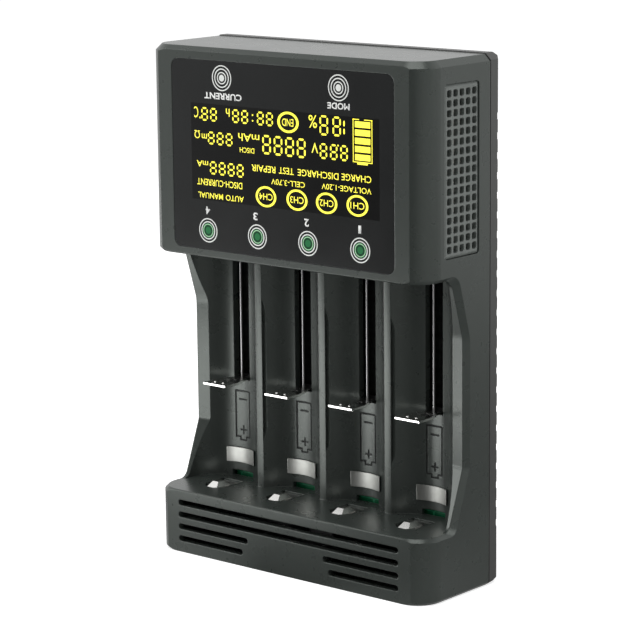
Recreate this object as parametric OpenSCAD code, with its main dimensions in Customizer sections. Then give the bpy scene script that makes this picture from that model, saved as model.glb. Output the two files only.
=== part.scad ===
// Battery charger with four bays, standing on its vented foot end.
// X runs across the bays, Y from the front face to the back, Z from the foot end to the display head.
// Every module is drawn with the front face at y = 0, and in_frame() centres it on the base.

/* [Body] */
// Width across the bays
body_w = 103; // [85:1:125]
// Height from the foot end to the head end
body_h = 153; // [127:1:185]
// Depth of the front shell, from its face to the seam
shell_d = 30; // [25:0.5:38]
// Depth of the back cover behind the seam
cover_d = 6; // [5:0.25:8]
// Wall thickness of both mouldings
wall = 2.2; // [1.6:0.1:2.8]
// Radius of the upright front corners
corner_r = 8.3; // [6:0.1:9]
// How far the front face cuts into the corner arcs, which leaves a crease
front_trim = 0.7; // [0.1:0.05:0.9]
// Bevel around the head end
top_bevel = 1.9; // [1:0.1:3]
// How far the head end of the shell lies below that of the cover
head_step = 0.3; // [0:0.05:0.5]
// Bevel around the foot end
base_bevel = 0.9; // [0.2:0.1:1.2]
// Bevel along the edges that face the bays
bay_edge_bevel = 1; // [0.4:0.1:1.5]
// Bevel around the back of the cover
cover_bevel = 2.3; // [1:0.1:3]
// How far the cover's foot end rises between the seam and its bevel
cover_rise = 1.6; // [0.5:0.1:2]
// Width and depth of the seam line between shell and cover
seam_gap = 0.35; // [0.1:0.05:0.6]

/* [Bays] */
// Height of the display head, from its underside to the head end
head_h = 61.5; // [58:0.5:66]
// Height of the foot ledge above the foot end
foot_h = 19.3; // [17.5:0.1:24]
// Room between the back of the bay floors and the seam
mechanism_room = 4; // [3.8:0.1:6]
// Thickness of the bay floors
floor_wall = 2; // [1.4:0.1:2.6]
// Side wall beside the outer bays' share of the width
side_share = 2.5; // [1.5:0.25:4]
// Thinnest part of a side wall
side_skin = 1.3; // [1:0.1:1.8]
// Width of the land on top of a rib
rib_w = 2.5; // [1.6:0.1:3.2]
// Height of a land's edges above the bay floor
rib_rise = 6.4; // [5:0.1:7]
// How far a land bulges between its edges
rib_crown = 0.12; // [0.05:0.01:0.4]
// How far the scooped side edge lies in front of the bay floor
scoop_rise = 3.1; // [2:0.1:5]
// Depth of the bevel between scooped edge and side face
rim_bevel_y = 2.2; // [1:0.1:3]
// Width of the scooped edge that slopes towards the bay
rim_slope_w = 4.5; // [3.5:0.1:5]
// How far that slope drops towards the bay
rim_lean = 0.95; // [0.3:0.05:1.2]
// Length of the scoop's slope below the head
scoop_head_run = 17.5; // [12:0.5:22]
// How far the slope below the head comes forward
scoop_head_lean = 5.3; // [3:0.1:7]
// Length of the scoop's slope above the foot
scoop_foot_run = 17.3; // [12:0.1:22]
// How far the slope above the foot comes forward
scoop_foot_lean = 6.5; // [3:0.1:8]
// Radius that rounds the scoop's corners
scoop_round = 4; // [2:0.5:5]
// Radius of the scoop's bend below the head
scoop_bend = 12; // [6:1:20]

/* [Sliding contacts] */
// Height of a contact at rest above the ledge
rest_gap = 30.5; // [28:0.1:34]
// Width of the slot in a bay floor
slot_w = 6.2; // [5.6:0.1:7]
// Width of a contact plate
plate_w = 8.8; // [8:0.1:11]
// Thickness of a contact plate
plate_t = 0.7; // [0.5:0.1:1]
// Reach of a contact plate in front of the bay floor
plate_reach = 12.6; // [10:0.1:14]
// Radius of a guide rod
rod_r = 0.4; // [0.35:0.05:0.45]
// Distance of a guide rod from the middle of its slot, to the left
rod_shift = 0.7; // [0:0.1:1]
// Radial running clearance of a carriage on its rod
run_gap = 0.08; // [0.03:0.01:0.1]
// Height of a carriage behind the bay floor
carriage_h = 6.6; // [6.4:0.1:9]
// Clearance between moving parts and the shell
slide_gap = 0.3; // [0.2:0.05:0.4]
// Outer radius of a return spring
spring_r = 1.15; // [0.9:0.05:1.25]
// Wire radius of a return spring
spring_wire_r = 0.2; // [0.15:0.05:0.25]

/* [Contacts in the foot] */
// Width of a positive contact leaf
leaf_w = 6.8; // [6:0.1:8]
// Length of the leaf on the ledge
leaf_len = 10; // [9:0.1:12]
// Distance of the leaf's front end from the bay floor
leaf_reach = 15.5; // [14.5:0.1:17]
// Thickness of the contact leaves
leaf_t = 0.4; // [0.3:0.05:0.6]
// Depth of the recess that a leaf lies in
leaf_recess = 0.8; // [0.5:0.1:1.1]
// Clearance around a leaf in its recess
leaf_gap = 0.45; // [0.3:0.05:0.8]
// Width of the bump that meets a cell
bump_w = 3.8; // [3.2:0.1:4.6]
// Height of the bump
bump_h = 1.5; // [0.8:0.1:1.8]
// Height of the slit in the bay floor, above the ledge
slit_h = 1.7; // [1:0.1:2]
// Width of the slit
slit_w = 8.4; // [7.4:0.1:8.8]
// Width of a curved sensor plate
sensor_w = 10.8; // [8:0.1:12]
// Height of a curved sensor plate
sensor_h = 4.6; // [3.5:0.1:6]
// Height of a sensor plate's lower edge above the ledge
sensor_lift = 4.4; // [4:0.1:6]
// Gap between a sensor plate and the bay floor
sensor_gap = 0.25; // [0.2:0.05:0.5]

/* [Display head] */
// Thickness of the window plate
window_t = 1.2; // [0.8:0.1:1.6]
// Margin beside the window plate
window_side = 10.3; // [8:0.1:13]
// Margin above the window plate
window_top = 4; // [3.5:0.1:6]
// Margin below the window plate
window_low = 2.3; // [2:0.1:4]
// Corner radius of the window plate
window_r = 2.6; // [1:0.1:4]
// Clearance around the window plate
window_gap = 0.1; // [0.05:0.05:0.3]
// Display margin on the left of the window plate
display_left = 7.3; // [6:0.1:9]
// Display margin on the right of the window plate
display_right = 5.1; // [4.5:0.1:9]
// Display margin at the top of the window plate
display_top = 12.5; // [11:0.1:15]
// Display margin at the bottom of the window plate
display_low = 14.6; // [13.5:0.1:17]
// Distance of the display board behind the front face
display_board_y = 8.8; // [8:0.1:11]
// Distance between the lower touch keys
key_pitch = 19; // [16:0.5:22]
// Height of the lower key row above the window's lower edge
key_low = 5.9; // [5:0.1:7]
// Distance of the upper key row below the window's upper edge
key_high = 4.8; // [4.6:0.1:6]
// Distance of an upper key from the middle
key_high_x = 21.7; // [18:0.1:26]

/* [Vents] */
// Width of a side grille, in depth direction
grille_w = 15.6; // [14.5:0.1:17]
// Height of a side grille
grille_h = 48.1; // [46.5:0.1:50]
// Depth of the grille's centre behind the front face
grille_y = 17.1; // [16.2:0.1:17.4]
// Distance of the grille's centre below the head end
grille_drop = 31.2; // [30.5:0.1:32]
// Thickness of a grille
grille_t = 1.4; // [1.1:0.1:1.5]
// Columns of holes in a grille
grille_cols = 5; // [4:1:5]
// Rows of holes in a grille
grille_rows = 17; // [12:1:17]
// Distance between the columns
grille_col_pitch = 2.85; // [2.5:0.05:2.9]
// Distance between the rows
grille_row_pitch = 2.7; // [2.5:0.05:2.75]
// Width of a hole
grille_hole = 2.05; // [1.4:0.05:2.1]
// How far a grille's field stands out from its edges
grille_rise = 0.5; // [0.2:0.1:0.8]
// Height of a vent slot in the foot
vent_h = 1.8; // [1:0.1:2]
// Distance between the vent slots
vent_pitch = 3.7; // [3:0.05:3.8]
// Height of the lowest vent slot above the foot end
vent_low = 4.3; // [3.6:0.1:4.5]
// Margin beside the vent slots
vent_side = 9.4; // [8:0.1:12]
// Half of the bare field between the lower short slots
bare_low = 16.4; // [12:0.1:20]
// Half of the bare field between the upper short slots
bare_high = 14.4; // [10:0.1:20]

/* [Back cover] */
// Number of grooves across the back
groove_count = 22; // [10:1:22]
// Width of a groove
groove_w = 2; // [1:0.1:2.6]
// Depth of a groove in the back
groove_depth = 0.5; // [0.2:0.1:0.8]
// Depth of a groove where it ends at the side edges
groove_edge = 0.25; // [0.1:0.05:0.5]
// Distance of the first and last groove from the ends
groove_margin = 17.8; // [17:0.1:24]
// Radius of a rubber foot
rubber_r = 4.2; // [3:0.1:5]
// How far a rubber foot stands out
rubber_proud = 1; // [0.6:0.1:1.5]
// Distance of the case screws from the ends
screw_end = 9; // [8.5:0.1:9.5]
// Distance of the case screws from the sides
screw_side = 5.9; // [5.6:0.1:7]

/* [Inside] */
// Thickness of the circuit boards
board_t = 1.6; // [1.2:0.1:1.8]
// Clearance around the circuit boards
board_gap = 1.2; // [0.8:0.1:2]
// Bore radius of the power inlet
inlet_r = 2.85; // [2.5:0.05:3]
// Radius of the power inlet's centre pin
inlet_pin_r = 1.05; // [0.85:0.05:1.25]
// Depth of the power inlet's bore
inlet_depth = 9.5; // [8:0.5:10]

/* [Hidden] */
$fn = 48;
BAYS = [1, 2, 3, 4];

// Over-cut that lets a cut pass a face
over = 1;

// Whole depth and the four walls of the outline
total_d = shell_d + cover_d + rubber_proud;
back_y = shell_d + cover_d;
side_x = body_w / 2;
head_z = body_h - head_h;
inner_x = side_x - wall;
inner_top = body_h - wall;

// Bay floors: the channel's arc ends at the edges of the ribs' lands
bay_pitch = (body_w - 2 * side_share) / len(BAYS);
floor_back = shell_d - mechanism_room;
floor_y = floor_back - floor_wall;
channel_r = (pow((bay_pitch - rib_w) / 2, 2) + pow(rib_rise, 2)) / (2 * rib_rise);
channel_y = floor_y - channel_r;
rib_edge_y = floor_y - rib_rise;
rib_land_r = (pow(rib_w / 2, 2) + pow(rib_crown, 2)) / (2 * rib_crown);
arc_y = corner_r - front_trim;
outer_bay_x = bay_x(1);
rib_xs = [for (i = [-1:1]) i * bay_pitch];

// Scooped side edges
scoop_y = floor_y - scoop_rise;
scoop_reach = shell_d;

// Sliding contacts
plate_z = foot_h + rest_gap;
slot_z = plate_z - 0.2;
rod_y = floor_y + 0.5;
plate_y = floor_y - plate_reach;
button_h = 0.45;
button_back = 7;
head_clear = 0.35;
travel = head_z - head_clear - button_h - plate_t - plate_z;
neck_w = slot_w - 1.6;
slot_top = head_z + 0.9;
carriage_y = floor_back + slide_gap;
main_board_y = shell_d - 1;
carriage_back = main_board_y - 0.2;
carriage_w = slot_w + 0.6;
carriage_z = plate_z - 5.4;
neck_back = carriage_y + 1.3;
rod_seat_w = 3.4;
rod_top_seat = 4.2;
post_z = foot_h + 4;
post_h = 1.6;
post_w = 2.2;
spring_y = (floor_back + main_board_y) / 2 + 0.05;

// Contact board and what it carries
contact_board_y = floor_back + leaf_t;
contact_board_top = foot_h + 2.6;
contact_board_low = 4;
leaf_z = foot_h - leaf_recess;
leaf_front = floor_y - leaf_reach;
leaf_end = leaf_front + leaf_len;
leaf_corner = 2.4;
tail_w = 4;
tail_drop = 1.2;
sensor_z = foot_h + sensor_lift;
sensor_leg_x = [1.7, 3.9];
sensor_leg_z = sensor_z + 0.8;
bead = 0.8;
slit_lip = 0.5;
rib_core_y = channel_y + sqrt(pow(channel_r + floor_wall, 2) - pow(bay_pitch / 2, 2));
foot_floor = 2;
foot_roof = foot_h - 2;

// Display head
window_w = body_w - 2 * window_side;
window_z = head_z + window_low;
window_h = body_h - window_top - window_z;
front_wall = window_t + 1.2;
display_x0 = -window_w / 2 + display_left;
display_x1 = window_w / 2 - display_right;
display_z0 = window_z + display_low;
display_z1 = window_z + window_h - display_top;
display_lap = 1.5;
glass_t = 2.4;
key_low_z = window_z + key_low;
key_high_z = window_z + window_h - key_high;
key_shift = 0.7;
key_hole_r = 3.4;
low_keys = [for (n = BAYS) [key_shift + (2.5 - n) * key_pitch, key_low_z]];
high_keys = [for (s = [-1, 1]) [s * key_high_x, key_high_z]];
display_screw_x = window_w / 2 - 3.4;
display_screw_z = [window_z + 3.6, window_z + window_h - 3.6];

// Screws and bosses
case_x = side_x - screw_side;
case_zs = [screw_end, body_h - screw_end];
case_boss_r = 3.2;
case_screw_r = 1.3;
case_head_r = 2.5;
case_head_h = 1.5;
case_seat_y = back_y - 1.7;
case_screw_len = 14;
board_boss_r = 2.2;
board_screw_r = 0.9;
thread_gap = 0.02;
main_screw_zs = [foot_h + 21, head_z - 7.5];
rubber_x = side_x - 17.5;
rubber_y = back_y - 0.6;
cover_inner_y = back_y - 2;

// Side grilles and power inlet
grille_z = body_h - grille_drop;
grille_r = 1.1;
grille_slope = 0.8;
grille_sink = 0.05;
grille_ledge = 1.2;
inlet_w = 9.2;
inlet_y = contact_board_y - 5;
inlet_h = 13;
inlet_collar_r = 3.9;

// Screws of the contact board, behind the bare field between the short vents
contact_screw_x = inlet_w / 2 + board_boss_r + 4.2;
contact_screw_z = vent_low + vent_pitch;

shell_grey = [0.25, 0.26, 0.26];
cover_grey = [0.27, 0.28, 0.28];
grille_grey = [0.45, 0.47, 0.46];
window_black = [0.14, 0.145, 0.145];
steel = [0.78, 0.79, 0.78];
nickel = [0.85, 0.85, 0.83];
board_green = [0.02, 0.32, 0.16];
black_plastic = [0.06, 0.06, 0.06];

// Bay 1 is the one on the right
function bay_x(n) = (2.5 - n) * bay_pitch;

function unit(v) = v / norm(v);

// Points of an arc of radius r that rounds the corner at b between a and c
function rounded(a, b, c, r, steps = 6) =
    let (
        u = unit(a - b),
        v = unit(c - b),
        half = acos(u * v) / 2,
        centre = b + unit(u + v) * r / sin(half),
        start = b + u * r / tan(half) - centre,
        end = b + v * r / tan(half) - centre,
        first = atan2(start.y, start.x),
        turn = (atan2(end.y, end.x) - first + 540) % 360 - 180
    )
    [for (i = [0:steps]) centre + r * [cos(first + turn * i / steps), sin(first + turn * i / steps)]];

// Front edge of the side walls seen from the side, as (y, z) from the head down to the ledge,
// moved forward by shift and let into head and foot by grow
function scoop_line(shift, grow) =
    let (
        front = [-over, head_z + grow],
        under_head = [scoop_y - scoop_head_lean - shift, head_z + grow],
        upper = [scoop_y - shift, head_z - scoop_head_run],
        lower = [scoop_y - shift, foot_h + scoop_foot_run],
        at_ledge = [scoop_y - scoop_foot_lean - shift, foot_h - grow],
        end = [-over, foot_h - grow]
    )
    concat(
        rounded(front, under_head, upper, scoop_round),
        rounded(under_head, upper, lower, scoop_bend),
        rounded(upper, lower, at_ledge, scoop_round),
        rounded(lower, at_ledge, end, scoop_round * 0.75)
    );

module in_frame() {
    translate([0, -total_d / 2, 0]) children();
}

// Extrudes a (y, z) outline along X
module along_x(x0, x1) {
    translate([x0, 0, 0]) rotate([90, 0, 90]) linear_extrude(x1 - x0) children();
}

// Extrudes an (x, z) outline along Y
module along_y(y0, y1) {
    translate([0, y1, 0]) rotate([90, 0, 0]) linear_extrude(y1 - y0) children();
}

// Round bar along Y at (x, z)
module bar_y(x, z, r, y0, y1) {
    translate([x, y0, z]) rotate([-90, 0, 0]) cylinder(r = r, h = y1 - y0);
}

// Box from its low corner to its high corner
module box(low, high) {
    translate(low) cube(high - low);
}

// Rectangle with round corners, from its low corner to its high corner
module round_rect(low, high, r) {
    translate(low + [r, 0]) square(high - low - [2 * r, 0]);
    translate(low + [0, r]) square(high - low - [0, 2 * r]);
    for (x = [low.x + r, high.x - r]) {
        for (y = [low.y + r, high.y - r]) translate([x, y]) circle(r);
    }
}

// Helix of round wire along Z from 0 to length
module wire_coil(radius, wire_r, length, turns, steps = 10, sides = 5) {
    last = turns * steps;
    rise = length - 2 * wire_r;
    points = [
        for (i = [0:last]) for (j = [0:sides - 1])
            let (a = 360 * i / steps, b = 360 * j / sides, r = radius + wire_r * cos(b))
            [r * cos(a), r * sin(a), wire_r * (1 + sin(b)) + rise * i / last]
    ];
    skin = [
        for (i = [0:last - 1]) for (j = [0:sides - 1])
            let (k = (j + 1) % sides, here = i * sides, next = here + sides)
            each [[here + j, here + k, next + k], [here + j, next + k, next + j]]
    ];
    low_end = [[for (j = [sides - 1:-1:0]) j]];
    high_end = [[for (j = [0:sides - 1]) last * sides + j]];
    polyhedron(points, concat(skin, low_end, high_end), convexity = 6);
}

// Block with round front corners and bevelled ends. The side edges have bevels of their own.
module upright_block(z0, z1, low, top, side_low, side_top) {
    flat_x = side_x - corner_r;
    intersection() {
        union() {
            along_x(-flat_x, flat_x) polygon([
                [-front_trim, z0 + low], [low - front_trim, z0], [shell_d, z0],
                [shell_d, z1], [top - front_trim, z1], [-front_trim, z1 - top]
            ]);
            along_y(arc_y, shell_d) polygon([
                [-side_x, z0 + side_low], [side_low - side_x, z0],
                [side_x - side_low, z0], [side_x, z0 + side_low],
                [side_x, z1 - side_top], [side_x - side_top, z1],
                [side_top - side_x, z1], [-side_x, z1 - side_top]
            ]);
            for (s = [-1, 1]) {
                translate([s * flat_x, arc_y, 0]) rotate_extrude() polygon([
                    [0, z0], [corner_r - low, z0], [corner_r, z0 + low],
                    [corner_r, z1 - top], [corner_r - top, z1], [0, z1]
                ]);
            }
        }
        box([-body_w, 0, -over], [body_w, shell_d, body_h + over]);
    }
}

// Side walls and bay floors before the channels are cut
module bay_block() {
    along_x(-side_x, side_x) polygon(concat(
        [[scoop_y - scoop_head_lean - rim_bevel_y, head_z + bay_edge_bevel + over]],
        scoop_line(rim_bevel_y, 0),
        [
            [scoop_y - scoop_foot_lean - rim_bevel_y, foot_h - bay_edge_bevel - over],
            [shell_d, foot_h - bay_edge_bevel - over],
            [shell_d, head_z + bay_edge_bevel + over]
        ]
    ));
}

// One bevel that runs along the head, the scooped edge and the foot, on the right
module rim_bevel_cut() {
    slice = 0.02;
    inner = side_x - bay_edge_bevel;
    low = foot_h - bay_edge_bevel;
    high = head_z + bay_edge_bevel;
    intersection() {
        hull() {
            along_x(inner - slice, inner)
                polygon(concat(scoop_line(rim_bevel_y, 0), [[0, foot_h], [0, head_z]]));
            along_x(side_x, side_x + slice)
                polygon(concat(scoop_line(0, bay_edge_bevel), [[0, low], [0, high]]));
        }
        box([0, arc_y, -over], [body_w, shell_d, body_h]);
    }
}

// Slope of the scooped edge from its bevel towards the bay, on the right
module rim_slope_cut() {
    slice = 0.02;
    outer = side_x - bay_edge_bevel;
    inner = outer - rim_slope_w;
    intersection() {
        hull() {
            along_x(outer, outer + slice)
                polygon(concat(scoop_line(rim_bevel_y, 0), [[0, foot_h], [0, head_z]]));
            along_x(inner - slice, inner)
                polygon(concat(scoop_line(rim_bevel_y - rim_lean, 0), [[0, foot_h], [0, head_z]]));
        }
        box([0, -over, foot_h], [body_w, shell_d, head_z]);
    }
}

module channels(extra, z0, z1) {
    intersection() {
        for (n = BAYS) {
            translate([bay_x(n), channel_y, z0]) cylinder(r = channel_r + extra, h = z1 - z0, $fn = 96);
        }
        box([side_skin - side_x, -over, z0], [side_x - side_skin, shell_d, z1]);
    }
}

// Slightly bulging lands on top of the ribs
module rib_lands() {
    half = rib_w / 2;
    for (x = rib_xs) {
        intersection() {
            translate([x, rib_edge_y - rib_crown + rib_land_r, foot_h])
                cylinder(r = rib_land_r, h = head_z - foot_h, $fn = 96);
            box([x - half, rib_edge_y - over, foot_h], [x + half, rib_edge_y + 0.4, head_z]);
        }
    }
}

// Hollows behind the ribs
module rib_cores() {
    difference() {
        box([-outer_bay_x, channel_y, foot_h + wall], [outer_bay_x, floor_back + over, head_z - wall]);
        for (n = BAYS) {
            translate([bay_x(n), channel_y, foot_h])
                cylinder(r = channel_r + floor_wall, h = head_z - foot_h, $fn = 96);
        }
    }
}

// Hollow behind a front wall, with cut corners that leave the wall behind the corner arcs
module front_hollow(front, z0, z1) {
    cut = (corner_r - wall) * 0.6;
    translate([0, 0, z0]) linear_extrude(z1 - z0) polygon([
        [cut - inner_x, front], [inner_x - cut, front], [inner_x, front + cut],
        [inner_x, shell_d + over], [-inner_x, shell_d + over], [-inner_x, front + cut]
    ]);
}

module shell_hollows() {
    front_hollow(front_wall, head_z + wall, inner_top);
    box([-inner_x, floor_back, foot_floor], [inner_x, shell_d + over, inner_top]);
    front_hollow(wall, foot_floor, foot_roof);
    rib_cores();
}

module shell_bosses() {
    for (x = [-case_x, case_x]) {
        for (z = case_zs) bar_y(x, z, case_boss_r, wall - 0.1, shell_d);
    }
    for (x = [rib_xs[0], rib_xs[2]]) {
        for (z = main_screw_zs) bar_y(x, z, board_boss_r, rib_core_y - 0.3, main_board_y);
    }
    for (x = [-contact_screw_x, contact_screw_x]) {
        bar_y(x, contact_screw_z, board_boss_r, wall - over, contact_board_y);
    }
    for (x = [-display_screw_x, display_screw_x]) {
        for (z = display_screw_z) bar_y(x, z, board_boss_r, front_wall - 0.6, display_board_y);
    }
    for (n = BAYS) {
        translate([bay_x(n), 0, 0]) {
            box([-rod_shift - rod_seat_w / 2, rod_y - 4.6, head_z + wall - over],
                [rod_seat_w / 2 - rod_shift, rod_y + 1.3, head_z + wall + rod_top_seat]);
            box([-post_w / 2, floor_back - 0.6, post_z], [post_w / 2, carriage_back, post_z + post_h]);
        }
    }
}

module shell_bores() {
    for (x = [-case_x, case_x]) {
        for (z = case_zs) {
            bar_y(x, z, case_screw_r + thread_gap, case_seat_y - case_screw_len - 1, shell_d + over);
        }
    }
    for (x = [rib_xs[0], rib_xs[2]]) {
        for (z = main_screw_zs) {
            bar_y(x, z, board_screw_r + thread_gap, main_board_y - 6, main_board_y + over);
        }
    }
    for (x = [-contact_screw_x, contact_screw_x]) {
        bar_y(x, contact_screw_z, board_screw_r + thread_gap, contact_board_y - 6, contact_board_y + over);
    }
    for (x = [-display_screw_x, display_screw_x]) {
        for (z = display_screw_z) {
            bar_y(x, z, board_screw_r + thread_gap, display_board_y - 5, display_board_y + over);
        }
    }
    for (n = BAYS) {
        translate([bay_x(n) - rod_shift, rod_y, slot_z - 2]) {
            cylinder(r = rod_r + thread_gap, h = head_z + wall + rod_top_seat - 0.8 - slot_z + 2);
        }
    }
}

// Outline of a leaf on the ledge, as (x, y), grown by gap
module leaf_plan(gap) {
    half = leaf_w / 2 + gap;
    nose = half - leaf_corner;
    front = leaf_front - gap;
    polygon([
        [-nose, front], [nose, front], [half, front + leaf_corner],
        [half, leaf_end + gap], [-half, leaf_end + gap], [-half, front + leaf_corner]
    ]);
}

// Slot, slit and leaf recess of one bay, with the openings behind the sensor plate
module bay_openings() {
    leg = [sensor_leg_x[0] - 0.2, sensor_leg_x[1] + 0.2];
    flare = floor_wall - slit_lip;
    box([-slot_w / 2, floor_y - 1.1, slot_z], [slot_w / 2, floor_back + over, slot_top]);
    box([-slit_w / 2, channel_y, foot_h], [slit_w / 2, floor_back + over, foot_h + slit_h]);
    box([-slit_w / 2 - flare, floor_y + slit_lip, foot_h - 0.6],
        [slit_w / 2, floor_back + over, foot_h + slit_h + 0.4]);
    box([leg[0], floor_y - 1.6, sensor_leg_z - 0.2],
        [leg[1], floor_back + over, sensor_leg_z + leaf_t + 0.2]);
    box([-bead - 0.1, floor_y - 0.5, sensor_z + sensor_h / 2 - bead - 0.1],
        [bead + 0.1, floor_y + 0.8, sensor_z + sensor_h / 2 + bead + 0.1]);
    translate([0, 0, leaf_z]) linear_extrude(leaf_recess + over) leaf_plan(leaf_gap);
    box([-tail_w / 2 - 0.3, leaf_end - leaf_t - 0.3, foot_roof - over],
        [tail_w / 2 + 0.3, leaf_end + leaf_gap, leaf_z + over]);
}

// Polarity mark as an (x, z) line drawing: cell outline with its nub down, minus and plus
module polarity_mark() {
    w = 5.8;
    h = 14.7;
    nub_w = 2.7;
    nub_h = 1;
    line = 0.4;
    minus_w = 3;
    plus_w = 2.5;
    minus_z = h - 2.8;
    plus_z = 2.4;
    difference() {
        union() {
            translate([-w / 2, 0]) square([w, h]);
            translate([-nub_w / 2, -nub_h]) square([nub_w, nub_h + line]);
        }
        translate([-w / 2 + line, line]) square([w - 2 * line, h - 2 * line]);
        translate([-nub_w / 2 + line, line - nub_h]) square([nub_w - 2 * line, nub_h + line]);
    }
    translate([0, minus_z]) square([minus_w, line], center = true);
    translate([0, plus_z]) square([plus_w, line], center = true);
    translate([0, plus_z]) square([line, plus_w + 0.2], center = true);
}

module polarity_engraving() {
    mark_depth = 0.3;
    mark_z = plate_z - 18.35;
    for (n = BAYS) {
        translate([bay_x(n), 0, 0]) intersection() {
            translate([0, 0, mark_z]) along_y(floor_y - 3, floor_y + floor_wall) polarity_mark();
            translate([0, channel_y, foot_h])
                cylinder(r = channel_r + mark_depth, h = plate_z - foot_h, $fn = 96);
        }
    }
}

module vent_slot(x0, x1, z) {
    r = vent_h / 2;
    along_y(-over, wall + 0.5) {
        translate([x0 + r, z - r]) square([x1 - x0 - 2 * r, vent_h]);
        for (x = [x0 + r, x1 - r]) translate([x, z]) circle(r);
    }
}

module foot_vents() {
    end = side_x - vent_side;
    for (row = [0:3]) {
        z = vent_low + row * vent_pitch;
        if (row > 1) {
            vent_slot(-end, end, z);
        } else {
            bare = row == 0 ? bare_low : bare_high;
            vent_slot(-end, -bare, z);
            vent_slot(bare, end, z);
        }
    }
}

module window_openings() {
    low = [-window_w / 2 - window_gap, window_z - window_gap];
    high = [window_w / 2 + window_gap, window_z + window_h + window_gap];
    along_y(-over, window_t) round_rect(low, high, window_r);
    box([display_x0, 0, display_z0], [display_x1, front_wall + over, display_z1]);
    for (key = concat(low_keys, high_keys)) {
        bar_y(key.x, key.y, key_hole_r, 0, front_wall + over);
    }
}

// Seat and opening of one side grille, on the right
module grille_opening() {
    y0 = grille_y - grille_w / 2 - window_gap;
    y1 = grille_y + grille_w / 2 + window_gap;
    z0 = grille_z - grille_h / 2 - window_gap;
    z1 = grille_z + grille_h / 2 + window_gap;
    along_x(side_x - grille_t, side_x + over) round_rect([y0, z0], [y1, z1], grille_r);
    box([inner_x - over, y0 + grille_ledge, z0 + grille_ledge],
        [side_x, y1 - grille_ledge, z1 - grille_ledge]);
}

module front_shell() {
    color(shell_grey) in_frame() difference() {
        union() {
            difference() {
                union() {
                    upright_block(head_z, body_h - head_step, bay_edge_bevel, top_bevel, 0, top_bevel);
                    upright_block(0, foot_h, base_bevel, bay_edge_bevel, base_bevel, 0);
                    bay_block();
                }
                rim_bevel_cut();
                mirror([1, 0, 0]) rim_bevel_cut();
                rim_slope_cut();
                mirror([1, 0, 0]) rim_slope_cut();
                channels(0, foot_h, head_z);
                box([-outer_bay_x, -over, foot_h], [outer_bay_x, rib_edge_y, head_z]);
                shell_hollows();
            }
            rib_lands();
            shell_bosses();
        }
        shell_bores();
        for (n = BAYS) translate([bay_x(n), 0, 0]) bay_openings();
        polarity_engraving();
        foot_vents();
        window_openings();
        grille_opening();
        mirror([1, 0, 0]) grille_opening();
        translate([0, inlet_y, -over]) cylinder(r = inlet_collar_r + 0.15, h = foot_floor + 2 * over);
    }
}

// Outline of the cover seen from above, as (x, y)
module cover_plan() {
    polygon([
        [-side_x, shell_d - over], [-side_x, back_y - cover_bevel], [cover_bevel - side_x, back_y],
        [side_x - cover_bevel, back_y], [side_x, back_y - cover_bevel], [side_x, shell_d - over]
    ]);
}

// Outline that a groove leaves. Its slopes run on past the sides.
module groove_plan() {
    y = back_y - groove_depth;
    slope = cover_bevel + groove_edge - groove_depth;
    polygon([
        [-side_x - over, shell_d - over], [-side_x - over, y - slope - over], [slope - side_x, y],
        [side_x - slope, y], [side_x + over, y - slope - over], [side_x + over, shell_d - over]
    ]);
}

module cover_body() {
    intersection() {
        linear_extrude(body_h) cover_plan();
        along_x(-side_x, side_x) polygon([
            [shell_d, 0], [back_y - cover_bevel, cover_rise], [back_y, cover_rise + cover_bevel],
            [back_y, body_h - cover_bevel], [back_y - cover_bevel, body_h], [shell_d, body_h]
        ]);
        along_y(shell_d, back_y) polygon([
            [-side_x, base_bevel], [base_bevel - side_x, 0], [side_x - base_bevel, 0], [side_x, base_bevel],
            [side_x, body_h - top_bevel], [side_x - top_bevel, body_h],
            [top_bevel - side_x, body_h], [-side_x, body_h - top_bevel]
        ]);
    }
}

// Thin frame that leaves the seam line around the cover's front edge
module seam_cut() {
    difference() {
        box([-body_w, shell_d - over, -over], [body_w, shell_d + seam_gap, body_h + over]);
        along_y(shell_d - 2 * over, shell_d + 2 * over) polygon([
            [seam_gap - side_x, base_bevel + seam_gap], [base_bevel + seam_gap - side_x, seam_gap],
            [side_x - base_bevel - seam_gap, seam_gap], [side_x - seam_gap, base_bevel + seam_gap],
            [side_x - seam_gap, body_h - top_bevel - seam_gap],
            [side_x - top_bevel - seam_gap, body_h - seam_gap],
            [top_bevel + seam_gap - side_x, body_h - seam_gap],
            [seam_gap - side_x, body_h - top_bevel - seam_gap]
        ]);
    }
}

module cover_grooves() {
    pitch = (body_h - 2 * groove_margin) / (groove_count - 1);
    for (i = [0:groove_count - 1]) {
        z = groove_margin + i * pitch;
        translate([0, 0, z - groove_w / 2]) linear_extrude(groove_w) difference() {
            translate([-side_x, shell_d + 2 * seam_gap]) square([body_w, cover_d]);
            groove_plan();
        }
        if (z > head_z + 8 && z < body_h - 22) {
            box([-22, cover_inner_y - over, z - 0.6], [22, back_y, z + 0.6]);
        }
    }
}

module back_cover() {
    color(cover_grey) in_frame() difference() {
        union() {
            difference() {
                cover_body();
                box([-inner_x, shell_d - over, cover_rise + wall], [inner_x, cover_inner_y, inner_top]);
            }
            for (x = [-case_x, case_x]) {
                for (z = case_zs) bar_y(x, z, case_boss_r + 0.8, shell_d, cover_inner_y + 0.5);
            }
            for (x = [-rubber_x, rubber_x]) {
                for (z = case_zs) bar_y(x, z, rubber_r + 1, rubber_y - 2.4, cover_inner_y + 0.5);
            }
        }
        seam_cut();
        cover_grooves();
        for (x = [-case_x, case_x]) {
            for (z = case_zs) {
                bar_y(x, z, case_screw_r + 0.2, shell_d - over, back_y);
                bar_y(x, z, case_head_r + 0.3, case_seat_y, back_y + over);
            }
        }
        for (x = [-rubber_x, rubber_x]) {
            for (z = case_zs) bar_y(x, z, rubber_r + 0.05, rubber_y, back_y + over);
        }
    }
}

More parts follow.
